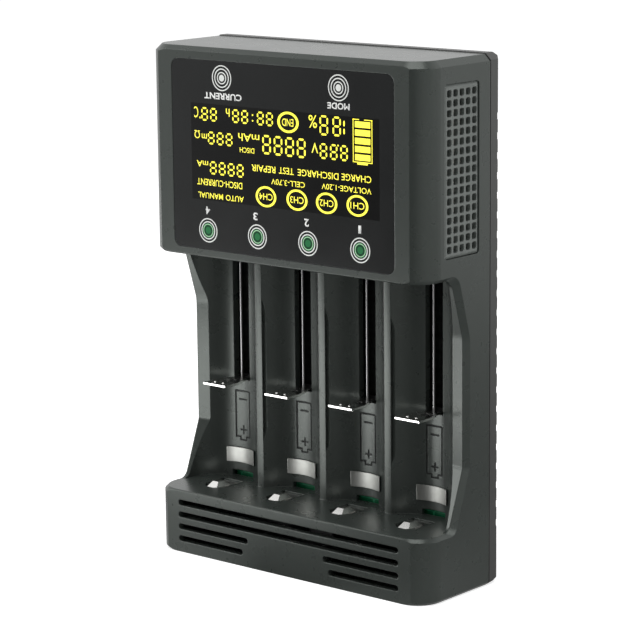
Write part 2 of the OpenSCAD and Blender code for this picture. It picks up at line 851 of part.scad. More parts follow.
module window() {
    color(window_black) in_frame() along_y(0.05, window_t) {
        round_rect([-window_w / 2, window_z], [window_w / 2, window_z + window_h], window_r);
    }
}

module display_glass() {
    color([0.03, 0.03, 0.03]) in_frame() box(
        [display_x0 - display_lap, front_wall, display_z0 - display_lap],
        [display_x1 + display_lap, front_wall + glass_t, display_z1 + display_lap]
    );
}

module display_backlight() {
    color([0.9, 0.9, 0.88]) in_frame() box(
        [display_x0 - 1, front_wall + glass_t, display_z0 - 1],
        [display_x1 + 1, display_board_y, display_z1 + 1]
    );
}

module display_board() {
    color(board_green) in_frame() difference() {
        box([-window_w / 2, display_board_y, window_z + 1],
            [window_w / 2, display_board_y + board_t, window_z + window_h - 1]);
        for (x = [-display_screw_x, display_screw_x]) {
            for (z = display_screw_z) {
                bar_y(x, z, board_screw_r + 0.2, display_board_y - over, display_board_y + board_t + over);
            }
        }
    }
}

module touch_springs() {
    color(steel) in_frame() for (key = concat(low_keys, high_keys)) {
        translate([key.x, window_t, key.y]) rotate([-90, 0, 0])
            wire_coil(2.6, 0.3, display_board_y - window_t, 4, 8, 4);
    }
}

module key_lights() {
    color([0.1, 0.7, 0.25]) in_frame() for (key = low_keys) {
        box([key.x - 1.5, display_board_y - 1.6, key.y - 1], [key.x + 1.5, display_board_y, key.y + 1]);
        bar_y(key.x, key.y, 0.8, display_board_y - 2.2, display_board_y - 1.5);
    }
}

module main_board() {
    edge = inner_x - board_gap;
    color(board_green) in_frame() difference() {
        box([-edge, main_board_y, screw_end + case_boss_r + 1.8],
            [edge, main_board_y + board_t, inner_top - board_gap]);
        for (x = [-case_x, case_x]) {
            bar_y(x, case_zs[1], case_boss_r + 1.2, main_board_y - over, main_board_y + board_t + over);
        }
        for (x = [rib_xs[0], rib_xs[2]]) {
            for (z = main_screw_zs) {
                bar_y(x, z, board_screw_r + 0.2, main_board_y - over, main_board_y + board_t + over);
            }
        }
    }
}

module microcontroller() {
    z = head_z + 29.5;
    color(black_plastic) in_frame() {
        box([-6, main_board_y - 1.4, z - 6], [6, main_board_y - 0.2, z + 6]);
        box([-7.5, main_board_y - 0.6, z - 5], [7.5, main_board_y, z + 5]);
    }
}

module power_transistors() {
    z = head_z + 41;
    color(black_plastic) in_frame() for (n = BAYS) {
        x = (2.5 - n) * 13;
        box([x - 3.3, main_board_y - 2.3, z - 3], [x + 3.3, main_board_y, z + 3]);
        box([x - 2.7, main_board_y - 0.5, z - 4.2], [x + 2.7, main_board_y, z + 4.2]);
    }
}

module capacitors() {
    z = head_z + 29.5;
    color([0.12, 0.14, 0.2]) in_frame() for (x = [-14, 14]) {
        difference() {
            bar_y(x, z, 4, main_board_y - 13, main_board_y);
            bar_y(x, z, 3.2, main_board_y - 13 - over, main_board_y - 12.8);
        }
    }
}

// Pin strip that joins two boards, with its pins along Y
module pin_strip(y0, y1, z, pins, base) {
    pitch = 2.54;
    half = pins * pitch / 2;
    box([-half, y1 - base, z - pitch / 2], [half, y1, z + pitch / 2]);
    for (i = [0:pins - 1]) {
        x = (i - (pins - 1) / 2) * pitch;
        box([x - 0.32, y0, z - 0.32], [x + 0.32, y1 - base / 2, z + 0.32]);
    }
}

module display_link() {
    color([0.1, 0.1, 0.1]) in_frame()
        pin_strip(display_board_y + board_t, main_board_y, inner_top - 5.5, 7, 8);
}

module board_link() {
    color([0.1, 0.1, 0.1]) in_frame()
        pin_strip(contact_board_y + board_t, main_board_y, foot_h - 2.4, 7, 0.6);
}

module contact_board() {
    edge = case_x - case_boss_r - 0.4;
    color(board_green) in_frame() difference() {
        box([-edge, contact_board_y, contact_board_low],
            [edge, contact_board_y + board_t, contact_board_top]);
        for (x = [-contact_screw_x, contact_screw_x]) {
            bar_y(x, contact_screw_z, board_screw_r + 0.2, contact_board_y - over,
                contact_board_y + board_t + over);
        }
    }
}

module power_inlet() {
    color(black_plastic) in_frame() difference() {
        union() {
            box([-inlet_w / 2, contact_board_y - 10, foot_floor],
                [inlet_w / 2, contact_board_y, foot_floor + inlet_h]);
            translate([0, inlet_y, 0.5]) cylinder(r = inlet_collar_r, h = foot_floor);
        }
        translate([0, inlet_y, 0]) cylinder(r = inlet_r, h = 0.5 + inlet_depth);
    }
}

module inlet_pin() {
    color(nickel) in_frame() translate([0, inlet_y, 1.6]) {
        cylinder(r = inlet_pin_r, h = inlet_depth - 1.1);
    }
}

// Square hole with round corners
module grille_hole_outline() {
    intersection() {
        square(grille_hole, center = true);
        circle(grille_hole * 0.58, $fn = 32);
    }
}

// Outline across a grille, as (x, y or z), with sloping edges between a and b
module grille_section(a, b) {
    back = side_x - grille_t - over;
    face = side_x - grille_sink;
    edge = face - 2 * grille_rise;
    polygon([
        [back, a - grille_slope], [edge, a - grille_slope], [face, a + grille_slope],
        [face, b - grille_slope], [edge, b + grille_slope], [back, b + grille_slope]
    ]);
}

// Perforated insert of the right side
module grille() {
    low = [grille_y - grille_w / 2, grille_z - grille_h / 2];
    high = [grille_y + grille_w / 2, grille_z + grille_h / 2];
    difference() {
        intersection() {
            along_x(side_x - grille_t, side_x) round_rect(low, high, grille_r);
            translate([0, 0, low.y - over]) linear_extrude(grille_h + 2 * over) grille_section(low.x, high.x);
            along_y(low.x - over, high.x + over) grille_section(low.y, high.y);
        }
        along_x(side_x - grille_t - over, side_x) {
            for (i = [0:grille_cols - 1]) {
                for (j = [0:grille_rows - 1]) {
                    y = grille_y + (i - (grille_cols - 1) / 2) * grille_col_pitch;
                    z = grille_z + (j - (grille_rows - 1) / 2) * grille_row_pitch;
                    translate([y, z]) grille_hole_outline();
                }
            }
        }
    }
}

module side_grille_right() {
    color(grille_grey) in_frame() grille();
}

module side_grille_left() {
    color(grille_grey) in_frame() mirror([1, 0, 0]) grille();
}

// Pan-head screw along Y, with its head's seat at y
module screw(x, z, y, r, length, head_r, head_h) {
    bar_y(x, z, r, y - length, y + head_h / 2);
    difference() {
        bar_y(x, z, head_r, y, y + head_h);
        box([x - head_r * 0.6, y + head_h / 2, z - 0.3], [x + head_r * 0.6, y + head_h + over, z + 0.3]);
        box([x - 0.3, y + head_h / 2, z - head_r * 0.6], [x + 0.3, y + head_h + over, z + head_r * 0.6]);
    }
}

module case_screws() {
    color(steel) in_frame() for (x = [-case_x, case_x]) {
        for (z = case_zs) {
            screw(x, z, case_seat_y, case_screw_r, case_screw_len, case_head_r, case_head_h);
        }
    }
}

module board_screws() {
    color(steel) in_frame() {
        for (x = [rib_xs[0], rib_xs[2]]) {
            for (z = main_screw_zs) {
                screw(x, z, main_board_y + board_t, board_screw_r, 6.5, 1.8, 1.1);
            }
        }
        for (x = [-contact_screw_x, contact_screw_x]) {
            screw(x, contact_screw_z, contact_board_y + board_t, board_screw_r, 6.5, 1.8, 0.8);
        }
        for (x = [-display_screw_x, display_screw_x]) {
            for (z = display_screw_z) {
                screw(x, z, display_board_y + board_t, board_screw_r, 6, 1.8, 1.1);
            }
        }
    }
}

module rubber_feet() {
    color([0.09, 0.09, 0.09]) in_frame() for (x = [-rubber_x, rubber_x]) {
        for (z = case_zs) {
            translate([x, rubber_y, z]) rotate([-90, 0, 0]) rotate_extrude() polygon([
                [0, 0], [rubber_r, 0], [rubber_r, 0.6 + rubber_proud - 0.4],
                [rubber_r - 0.4, 0.6 + rubber_proud], [0, 0.6 + rubber_proud]
            ]);
        }
    }
}

module temperature_sensors() {
    z = sensor_z + sensor_h / 2;
    color([0.1, 0.1, 0.12]) in_frame() for (n = BAYS) {
        translate([bay_x(n), 0, 0])
            box([-bead, floor_y - sensor_gap, z - bead], [bead, floor_y + 0.8, z + bead]);
    }
}

// Bent plate that meets a cell's flat end, with its lip, dimples and button
module slider_contact(n) {
    half = plate_w / 2;
    neck = neck_w / 2;
    color(nickel) in_frame() translate([bay_x(n), 0, 0]) {
        difference() {
            union() {
                translate([0, 0, plate_z]) linear_extrude(plate_t) polygon([
                    [-half, plate_y], [half, plate_y], [half, plate_y + 5.4], [neck, floor_y - 1.6],
                    [neck, neck_back], [-neck, neck_back], [-neck, floor_y - 1.6], [-half, plate_y + 5.4]
                ]);
                box([-half, plate_y - 0.45, plate_z + 0.1], [half, plate_y + 0.2, plate_z + plate_t]);
                for (x = [-1.6, 1.6]) {
                    translate([x, plate_y + 2, plate_z + plate_t - 0.15]) sphere(r = 0.5, $fn = 24);
                }
                translate([0, plate_y + button_back, plate_z + plate_t - 0.05])
                    cylinder(r1 = 1.9, r2 = 0.9, h = button_h + 0.05);
            }
            translate([-rod_shift, rod_y, plate_z - over])
                cylinder(r = rod_r + run_gap, h = plate_t + 2 * over);
        }
    }
}

// Plastic carriage behind the bay floor, which holds the neck of the plate
module slider_carriage(n) {
    half = carriage_w / 2;
    color(black_plastic) in_frame() translate([bay_x(n), 0, 0]) {
        difference() {
            box([-half, carriage_y, carriage_z], [half, carriage_back, carriage_z + carriage_h]);
            box([-neck_w / 2, carriage_y - over, plate_z], [neck_w / 2, neck_back, plate_z + plate_t]);
        }
    }
}

module guide_rod(n) {
    color(steel) in_frame() translate([bay_x(n) - rod_shift, rod_y, slot_z - 2]) {
        cylinder(r = rod_r, h = head_z + wall + rod_top_seat - 0.8 - slot_z + 2);
    }
}

// Extension spring between its post on the shell and the carriage
module return_spring(n) {
    z0 = post_z + post_h;
    color(steel) in_frame() translate([bay_x(n), spring_y, z0]) {
        wire_coil(spring_r - spring_wire_r, spring_wire_r, carriage_z - z0, 14, 8, 5);
    }
}

// Hollow raised bump with sloping sides, standing on z = 0 and running back from y = 0
module contact_bump(inset, skirt) {
    half = bump_w / 2 - inset;
    top = half - 0.8;
    front = inset;
    back = 6.4 - inset;
    slope = 1.8;
    height = bump_h - inset * 0.4;
    intersection() {
        along_x(-half, half) polygon([
            [front, -skirt], [back, -skirt], [back, 0],
            [back - slope, height], [front + slope, height], [front, 0]
        ]);
        along_y(front, back) polygon([
            [-half, -skirt], [half, -skirt], [half, 0], [top, height], [-top, height], [-half, 0]
        ]);
    }
}

// Leaf that meets a cell's nub: it lies in its recess and its tail passes the ledge to the contact board
module positive_contact(n) {
    tail_z = foot_roof - tail_drop - leaf_z;
    bump_y = leaf_front + 0.6;
    color(nickel) in_frame() translate([bay_x(n), 0, leaf_z]) {
        difference() {
            union() {
                linear_extrude(leaf_t) leaf_plan(0);
                translate([0, bump_y, leaf_t]) contact_bump(0, leaf_t / 2);
                box([-tail_w / 2, leaf_end - leaf_t, tail_z], [tail_w / 2, leaf_end, leaf_t]);
                box([-tail_w / 2, leaf_end - leaf_t, tail_z], [tail_w / 2, contact_board_y, tail_z + leaf_t]);
            }
            translate([0, bump_y, 0]) contact_bump(leaf_t, over);
        }
    }
}

// Curved strip that follows the channel, with a leg that passes the bay floor to the contact board
module sensor_plate(n) {
    outer = channel_r - sensor_gap;
    inner = outer - leaf_t;
    leg_y = channel_y + sqrt(pow(outer, 2) - pow(sensor_leg_x[1], 2));
    leg_top = sensor_leg_z + leaf_t;
    color(nickel) in_frame() translate([bay_x(n), 0, 0]) {
        intersection() {
            translate([0, channel_y, sensor_z]) difference() {
                cylinder(r = outer, h = sensor_h, $fn = 96);
                translate([0, 0, -over]) cylinder(r = inner, h = sensor_h + 2 * over, $fn = 96);
            }
            box([-sensor_w / 2, channel_y, sensor_z], [sensor_w / 2, floor_y, sensor_z + sensor_h]);
        }
        box([sensor_leg_x[0], leg_y + 0.1, sensor_leg_z], [sensor_leg_x[1], contact_board_y, leg_top]);
        box([sensor_leg_x[0], floor_back, contact_board_top - 0.6],
            [sensor_leg_x[1], contact_board_y, leg_top]);
    }
}

module coil(n) {
    x = (2.5 - n) * 18.5;
    z = head_z + 13;
    color([0.3, 0.3, 0.31]) in_frame() difference() {
        union() {
            box([x - 5.5, main_board_y - 1, z - 5.5], [x + 5.5, main_board_y, z + 5.5]);
            bar_y(x, z, 5.2, main_board_y - 5.6, main_board_y - 0.5);
        }
        bar_y(x, z, 3.2, main_board_y - 5.6 - over, main_board_y - 5.1);
    }
}

module discharge_resistor(n) {
    x = n < 3 ? inner_x - 7.6 : 7.6 - inner_x;
    z = n % 2 == 1 ? head_z + 16.5 : head_z + 37.5;
    color([0.86, 0.84, 0.78]) in_frame() {
        box([x - 3.4, main_board_y - 8, z - 9.5], [x + 3.4, main_board_y - 1, z + 9.5]);
        for (s = [-1, 1]) {
            box([x - 0.4, main_board_y - 1.5, z + s * 7 - 0.4], [x + 0.4, main_board_y, z + s * 7 + 0.4]);
        }
    }
}

front_shell();
back_cover();
window();
display_glass();
display_backlight();
display_board();
touch_springs();
key_lights();
main_board();
microcontroller();
power_transistors();
capacitors();
display_link();
contact_board();
board_link();
power_inlet();
inlet_pin();
side_grille_right();
side_grille_left();
case_screws();
board_screws();
rubber_feet();
temperature_sensors();
slider_contact(1);  // slider_contact_1
slider_contact(2);  // slider_contact_2
slider_contact(3);  // slider_contact_3
slider_contact(4);  // slider_contact_4
slider_carriage(1);  // slider_carriage_1
slider_carriage(2);  // slider_carriage_2
slider_carriage(3);  // slider_carriage_3
slider_carriage(4);  // slider_carriage_4
guide_rod(1);  // guide_rod_1
guide_rod(2);  // guide_rod_2
guide_rod(3);  // guide_rod_3
guide_rod(4);  // guide_rod_4
return_spring(1);  // return_spring_1
return_spring(2);  // return_spring_2
return_spring(3);  // return_spring_3
return_spring(4);  // return_spring_4
positive_contact(1);  // positive_contact_1
positive_contact(2);  // positive_contact_2
positive_contact(3);  // positive_contact_3
positive_contact(4);  // positive_contact_4
sensor_plate(1);  // sensor_plate_1
sensor_plate(2);  // sensor_plate_2
sensor_plate(3);  // sensor_plate_3
sensor_plate(4);  // sensor_plate_4
coil(1);  // coil_1
coil(2);  // coil_2
coil(3);  // coil_3
coil(4);  // coil_4
discharge_resistor(1);  // discharge_resistor_1
discharge_resistor(2);  // discharge_resistor_2
discharge_resistor(3);  // discharge_resistor_3
discharge_resistor(4);  // discharge_resistor_4
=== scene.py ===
"""Looks of a four-bay battery charger that stands on its vented foot end.

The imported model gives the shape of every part. This script dresses those parts, prints the window,
lights the display, winds the return springs and sets up the studio. Lengths in the dataclasses are in
millimetres, apart from the studio's, and in the model's own frame: X runs across the bays, Y from front
to back, Z up.
"""
import logging
import math
from dataclasses import dataclass, field
from enum import Enum

import bmesh
import bpy
from mathutils import Matrix, Vector

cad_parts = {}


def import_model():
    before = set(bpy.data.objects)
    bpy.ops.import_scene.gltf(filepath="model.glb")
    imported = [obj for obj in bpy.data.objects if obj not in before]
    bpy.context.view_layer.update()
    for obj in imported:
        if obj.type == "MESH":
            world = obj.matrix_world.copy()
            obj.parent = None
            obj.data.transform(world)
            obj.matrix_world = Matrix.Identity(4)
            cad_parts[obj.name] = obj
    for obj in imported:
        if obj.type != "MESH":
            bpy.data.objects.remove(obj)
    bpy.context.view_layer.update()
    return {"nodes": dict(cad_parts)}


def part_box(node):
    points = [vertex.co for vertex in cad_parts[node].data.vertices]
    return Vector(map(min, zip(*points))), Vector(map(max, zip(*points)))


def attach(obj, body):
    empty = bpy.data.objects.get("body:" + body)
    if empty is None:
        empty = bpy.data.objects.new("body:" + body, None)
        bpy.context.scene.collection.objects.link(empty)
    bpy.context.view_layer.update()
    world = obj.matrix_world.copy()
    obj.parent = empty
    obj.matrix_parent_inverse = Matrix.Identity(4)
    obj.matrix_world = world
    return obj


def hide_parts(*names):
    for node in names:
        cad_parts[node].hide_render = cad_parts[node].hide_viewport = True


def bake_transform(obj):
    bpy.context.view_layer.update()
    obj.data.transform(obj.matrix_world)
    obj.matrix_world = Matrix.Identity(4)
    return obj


LOG = logging.getLogger("charger")
MM = 0.001
BAYS = (1, 2, 3, 4)
MIDDLE_BAY = 2.5
BASE = "base"

Colour = tuple[float, float, float]
Point = tuple[float, float, float]
Box = tuple[float, float, float, float]


def each(stem: str) -> list[str]:
    """Names of the four bays' nodes that share a stem."""
    return [f"{stem}_{n}" for n in BAYS]


# ---------------------------------------------------------------- finishes


class Grain(Enum):
    """Direction in which a finish is stretched, as a scale along X, Y and Z."""

    EVEN = (1.0, 1.0, 1.0)
    ALONG_X = (0.06, 1.0, 1.0)
    ALONG_Z = (1.0, 1.0, 0.06)


class Tree:
    """Node tree with short calls that add and join its nodes."""

    def __init__(self, tree: bpy.types.NodeTree) -> None:
        """Takes up a tree.

        Args:
            tree: The node tree of a material or a world.
        """
        self.tree = tree
        self.place = self.add("ShaderNodeTexCoord").outputs["Object"]

    def add(self, kind: str, sockets: dict | None = None, **settings: object) -> bpy.types.Node:
        """Adds a node.

        Args:
            kind: Blender's name of the node's type.
            sockets: Values or output sockets for the node's inputs, by name or number.
            settings: The node's own properties.

        Returns:
            The new node.
        """
        made = self.tree.nodes.new(kind)
        for key, value in settings.items():
            setattr(made, key, value)
        for key, value in (sockets or {}).items():
            self.put(made.inputs[key], value)
        return made

    def put(self, socket: bpy.types.NodeSocket, value: object) -> None:
        """Joins an output socket to an input, or sets the input's value."""
        if isinstance(value, bpy.types.NodeSocket):
            self.tree.links.new(value, socket)
        else:
            socket.default_value = value

    def noise(self, scale: float, detail: float = 2.0, grain: Grain = Grain.EVEN) -> bpy.types.NodeSocket:
        """Noise over Object coordinates.

        Args:
            scale: Waves per metre.
            detail: Octaves of finer noise.
            grain: Direction of stretch.

        Returns:
            The noise's value, from 0 to 1.
        """
        where = self.place
        if grain is not Grain.EVEN:
            where = self.add("ShaderNodeMapping", {"Vector": where, "Scale": grain.value}).outputs[0]
        made = self.add("ShaderNodeTexNoise", {"Vector": where, "Scale": scale, "Detail": detail})
        return made.outputs[0]

    def spread(self, value: bpy.types.NodeSocket, low: float, high: float, start: float = 0.3,
               end: float = 0.7) -> bpy.types.NodeSocket:
        """Maps a value from start..end to low..high."""
        sockets = {"Value": value, "From Min": start, "From Max": end, "To Min": low, "To Max": high}
        return self.add("ShaderNodeMapRange", sockets).outputs[0]

    def blend(self, factor: object, first: object, second: object) -> bpy.types.NodeSocket:
        """Mixes two colours by a factor."""
        return self.add("ShaderNodeMix", {0: factor, 6: first, 7: second}, data_type="RGBA").outputs[2]

    def maths(self, operation: str, *values: object) -> bpy.types.NodeSocket:
        """Result of a sum on numbers."""
        return self.add("ShaderNodeMath", dict(enumerate(values)), operation=operation).outputs[0]

    def along(self, where: bpy.types.NodeSocket, way: Point) -> bpy.types.NodeSocket:
        """How far a vector points along a direction."""
        made = self.add("ShaderNodeVectorMath", {0: where, 1: way}, operation="DOT_PRODUCT")
        return made.outputs["Value"]

    def step(self, value: object, start: float, end: float, low: float,
             high: float) -> bpy.types.NodeSocket:
        """Maps a value from start..end to low..high, with soft ends."""
        sockets = {"Value": value, "From Min": start, "From Max": end, "To Min": low, "To Max": high}
        return self.add("ShaderNodeMapRange", sockets, interpolation_type="SMOOTHSTEP").outputs[0]


class Recipe(Tree):
    """Node tree of one material."""

    def __init__(self, name: str) -> None:
        """Starts a material.

        Args:
            name: Name of the material.
        """
        self.material = bpy.data.materials.new(name)
        self.material.use_nodes = True
        super().__init__(self.material.node_tree)
        self.shader = self.tree.nodes["Principled BSDF"]


@dataclass(frozen=True)
class Finish:
    """What every surface has: a colour that drifts a little, gloss that varies, and a fine relief.

    Scales are in waves per metre. The relief's depth and the rounding of edges are in millimetres.
    """

    name: str
    colour: Colour
    roughness: float = 0.4
    metallic: float = 0.0
    specular: float = 0.5
    drift: float = 0.06
    drift_scale: float = 45.0
    gloss_drift: float = 0.05
    gloss_scale: float = 220.0
    relief: float = 0.0
    relief_scale: float = 3000.0
    relief_depth: float = 0.03
    edge: float = 0.0
    gloss_tint: Colour = (1.0, 1.0, 1.0)
    grain: Grain = Grain.EVEN

    def shade(self, factor: float) -> tuple[float, float, float, float]:
        """The colour made lighter or darker, with an alpha of 1."""
        return (*[min(1.0, c * factor) for c in self.colour], 1.0)

    def tint(self, recipe: Recipe) -> bpy.types.NodeSocket:
        """Colour over the surface, as an output socket."""
        drift = recipe.spread(recipe.noise(self.drift_scale, 3.0), 0.0, 1.0)
        return recipe.blend(drift, self.shade(1 - self.drift), self.shade(1 + self.drift))

    def height(self, recipe: Recipe) -> bpy.types.NodeSocket:
        """Fine relief over the surface, as an output socket."""
        return recipe.noise(self.relief_scale, 2.0, self.grain)

    def extras(self, recipe: Recipe) -> None:
        """Sets what only some finishes have."""

    def build(self) -> bpy.types.Material:
        """Makes the material."""
        recipe = Recipe(self.name)
        shader = recipe.shader
        gloss = recipe.noise(self.gloss_scale, 3.0, self.grain)
        recipe.put(shader.inputs["Base Color"], self.tint(recipe))
        low, high = self.roughness - self.gloss_drift, self.roughness + self.gloss_drift
        recipe.put(shader.inputs["Roughness"], recipe.spread(gloss, low, high))
        shader.inputs["Metallic"].default_value = self.metallic
        shader.inputs["Specular IOR Level"].default_value = self.specular
        shader.inputs["Specular Tint"].default_value = (*self.gloss_tint, 1.0)
        normal = None
        if self.edge:
            normal = recipe.add("ShaderNodeBevel", {"Radius": self.edge * MM}, samples=6).outputs[0]
        if self.relief:
            sockets = {"Strength": self.relief, "Distance": self.relief_depth * MM,
                       "Height": self.height(recipe)}
            if normal:
                sockets["Normal"] = normal
            normal = recipe.add("ShaderNodeBump", sockets).outputs[0]
        if normal:
            recipe.put(shader.inputs["Normal"], normal)
        self.extras(recipe)
        return recipe.material


@dataclass(frozen=True)
class Moulding(Finish):
    """Moulded plastic with a fine spark-eroded grain and a few paler specks of dust."""

    specks: float = 0.5
    speck_scale: float = 1500.0
    speck_shade: float = 1.9
    mottle: float = 0.06
    mottle_scale: float = 900.0

    def tint(self, recipe: Recipe) -> bpy.types.NodeSocket:
        """Colour over the surface: slow drift, fine mottle and specks."""
        body = super().tint(recipe)
        mottle = recipe.spread(recipe.noise(self.mottle_scale, 2.0), 0.0, 1.0)
        fine = recipe.blend(mottle, self.shade(1 - self.mottle), self.shade(1 + self.mottle))
        mixed = recipe.blend(0.5, body, fine)
        dust = recipe.spread(recipe.noise(self.speck_scale, 1.0), 0.0, self.specks, 0.78, 0.86)
        return recipe.blend(dust, mixed, self.shade(self.speck_shade))


@dataclass(frozen=True)
class BrushedMetal(Finish):
    """Plated or drawn metal with faint streaks along its grain."""

    metallic: float = 1.0
    drift: float = 0.05
    relief: float = 0.25
    relief_scale: float = 5000.0
    relief_depth: float = 0.01
    grain: Grain = Grain.ALONG_X


@dataclass(frozen=True)
class Glow(Finish):
    """Print or a display segment that gives off light of its own."""

    strength: float = 1.0
    uneven: float = 0.07
    uneven_scale: float = 90.0

    def extras(self, recipe: Recipe) -> None:
        """Adds the glow, a little uneven as a backlight is."""
        patches = recipe.spread(recipe.noise(self.uneven_scale, 2.0), 0.0, 1.0)
        glow = recipe.blend(patches, self.shade(1 - self.uneven), self.shade(1.0))
        recipe.put(recipe.shader.inputs["Emission Color"], glow)
        recipe.shader.inputs["Emission Strength"].default_value = self.strength


@dataclass(frozen=True)
class SolderMask(Finish):
    """Circuit board: solder mask over copper tracks, with plated holes."""

    track: Colour = (0.05, 0.42, 0.2)
    track_scale: float = 160.0
    hole: Colour = (0.72, 0.68, 0.5)
    hole_scale: float = 260.0
    # Painted shade: the board's lower part, below the given height, is painted this black in place of the
    # shade it lies in.
    black: Colour = (0.002, 0.003, 0.0025)
    painted_shade_below: float = -1.0  # height in millimetres, or less than 0 for none
    painted_shade_soft: float = 0.3

    def tint(self, recipe: Recipe) -> bpy.types.NodeSocket:
        """Colour over the board: mask, tracks and holes, and a black field painted on its lower part as
        shade.
        """
        board = super().tint(recipe)
        turned = recipe.add("ShaderNodeMapping", {"Vector": recipe.place, "Rotation": (math.pi / 2, 0, 0)})
        brick = recipe.add("ShaderNodeTexBrick", {
            "Vector": turned.outputs[0], "Scale": self.track_scale, "Mortar Size": 0.06,
            "Mortar Smooth": 0.1, "Brick Width": 1.7, "Row Height": 0.4,
        }, offset=0.37, squash=0.7)
        tracks = recipe.blend(brick.outputs["Fac"], board, (*self.track, 1.0))
        cells = recipe.add("ShaderNodeTexVoronoi", {"Vector": recipe.place, "Scale": self.hole_scale})
        holes = recipe.spread(cells.outputs["Distance"], 1.0, 0.0, 0.12, 0.16)
        whole = recipe.blend(holes, tracks, (*self.hole, 1.0))
        if self.painted_shade_below < 0:
            return whole
        # Painted shade: the board turns black below the given height, with a soft edge.
        height = recipe.along(recipe.place, (0.0, 0.0, 1.0))
        start, end = self.painted_shade_below - self.painted_shade_soft, self.painted_shade_below + self.painted_shade_soft
        low = recipe.step(height, start * MM, end * MM, 1.0, 0.0)
        return recipe.blend(low, whole, (*self.black, 1.0))


@dataclass(frozen=True)
class Pane(Finish):
    """Dark display pane: black with faint lines of electrodes."""

    line_scale: float = 420.0
    line_cover: float = 0.35
    line_shade: float = 1.6

    def tint(self, recipe: Recipe) -> bpy.types.NodeSocket:
        """Colour over the pane."""
        base = super().tint(recipe)
        sockets = {"Vector": recipe.place, "Scale": self.line_scale, "Distortion": 0.0}
        wave = recipe.add("ShaderNodeTexWave", sockets, bands_direction="Z").outputs["Fac"]
        lines = recipe.spread(wave, 0.0, self.line_cover, 0.85, 1.0)
        return recipe.blend(lines, base, self.shade(self.line_shade))


CASE = Moulding("case", (0.036, 0.042, 0.0385), roughness=0.28, relief=0.35, relief_scale=2600.0,
                relief_depth=0.02, edge=0.35, gloss_drift=0.012, specks=0.08, gloss_tint=(0.93, 1.0, 0.94))
COVER = Moulding("cover", (0.056, 0.055, 0.055), roughness=0.42, relief=0.4, relief_scale=2600.0,
                 relief_depth=0.02, edge=0.25, gloss_drift=0.012, specks=0.08, gloss_tint=(0.95, 1.0, 0.95))
MARK = Finish("mark", (0.006, 0.0065, 0.0065), roughness=0.55, specular=0.3, relief=0.2,
              relief_scale=4000.0, relief_depth=0.01)
WINDOW = Finish("window", (0.0085, 0.0095, 0.0095), roughness=0.22, specular=0.3, drift=0.08, edge=0.15,
                gloss_drift=0.03, gloss_scale=60.0)
GRILLE = Moulding("grille", (0.145, 0.16, 0.15), roughness=0.5, relief=0.3, relief_depth=0.02, edge=0.12,
                  specks=0.2)
RUBBER = Moulding("rubber", (0.012, 0.012, 0.012), roughness=0.75, relief=0.6, relief_scale=1800.0,
                  relief_depth=0.05, edge=0.2, specks=0.6)
BLACK_MOULDING = Moulding("connector", (0.012, 0.012, 0.013), roughness=0.45, relief=0.3, edge=0.1,
                          specks=0.3)
CHIP = Moulding("chip", (0.01, 0.01, 0.011), roughness=0.55, relief=0.5, relief_scale=5000.0, edge=0.08)
NICKEL = BrushedMetal("nickel", (0.78, 0.775, 0.755), roughness=0.24, edge=0.08, gloss_drift=0.06)
SENSOR_NICKEL = BrushedMetal("sensor_nickel", (0.36, 0.365, 0.345), roughness=0.42, edge=0.2,
                             gloss_drift=0.05, grain=Grain.ALONG_Z)
ROD_STEEL = BrushedMetal("rod_steel", (0.33, 0.33, 0.33), roughness=0.34, gloss_drift=0.04,
                         grain=Grain.ALONG_Z)
SPRING_STEEL = BrushedMetal("spring_steel", (0.55, 0.55, 0.55), roughness=0.25, relief_scale=8000.0)
SCREW_STEEL = BrushedMetal("screw_steel", (0.12, 0.12, 0.125), roughness=0.35, edge=0.08)
BRASS = BrushedMetal("brass", (0.75, 0.6, 0.32), roughness=0.25, edge=0.05, grain=Grain.ALONG_Z)
FERRITE = Moulding("ferrite", (0.035, 0.035, 0.037), roughness=0.6, relief=0.6, relief_scale=2500.0,
                   edge=0.1)
CERAMIC = Moulding("ceramic", (0.7, 0.68, 0.6), roughness=0.65, relief=0.5, relief_scale=1800.0, edge=0.15,
                   specks=0.1)
SLEEVE = Finish("capacitor", (0.02, 0.025, 0.05), roughness=0.3, relief=0.2, relief_scale=900.0, edge=0.1)
DIFFUSER = Finish("light_plastic", (0.85, 0.85, 0.8), roughness=0.35, relief=0.2, relief_scale=1500.0)
LAMP = Glow("lamp", (0.55, 0.85, 0.6), roughness=0.3, strength=0.4)
BOARD = SolderMask("board", (0.003, 0.12, 0.045), roughness=0.35, relief=0.25, relief_scale=700.0,
                   relief_depth=0.03, edge=0.05)
BLACK_BOARD = SolderMask("black_board", (0.006, 0.0065, 0.0065), roughness=0.4, relief=0.25,
                         relief_scale=700.0, relief_depth=0.03, edge=0.05, track=(0.011, 0.0125, 0.012),
                         hole=(0.02, 0.02, 0.019))
CARRIAGE = Moulding("carriage", (0.008, 0.008, 0.0085), roughness=0.7, specular=0.2, relief=0.3, edge=0.1,
                    specks=0.2)
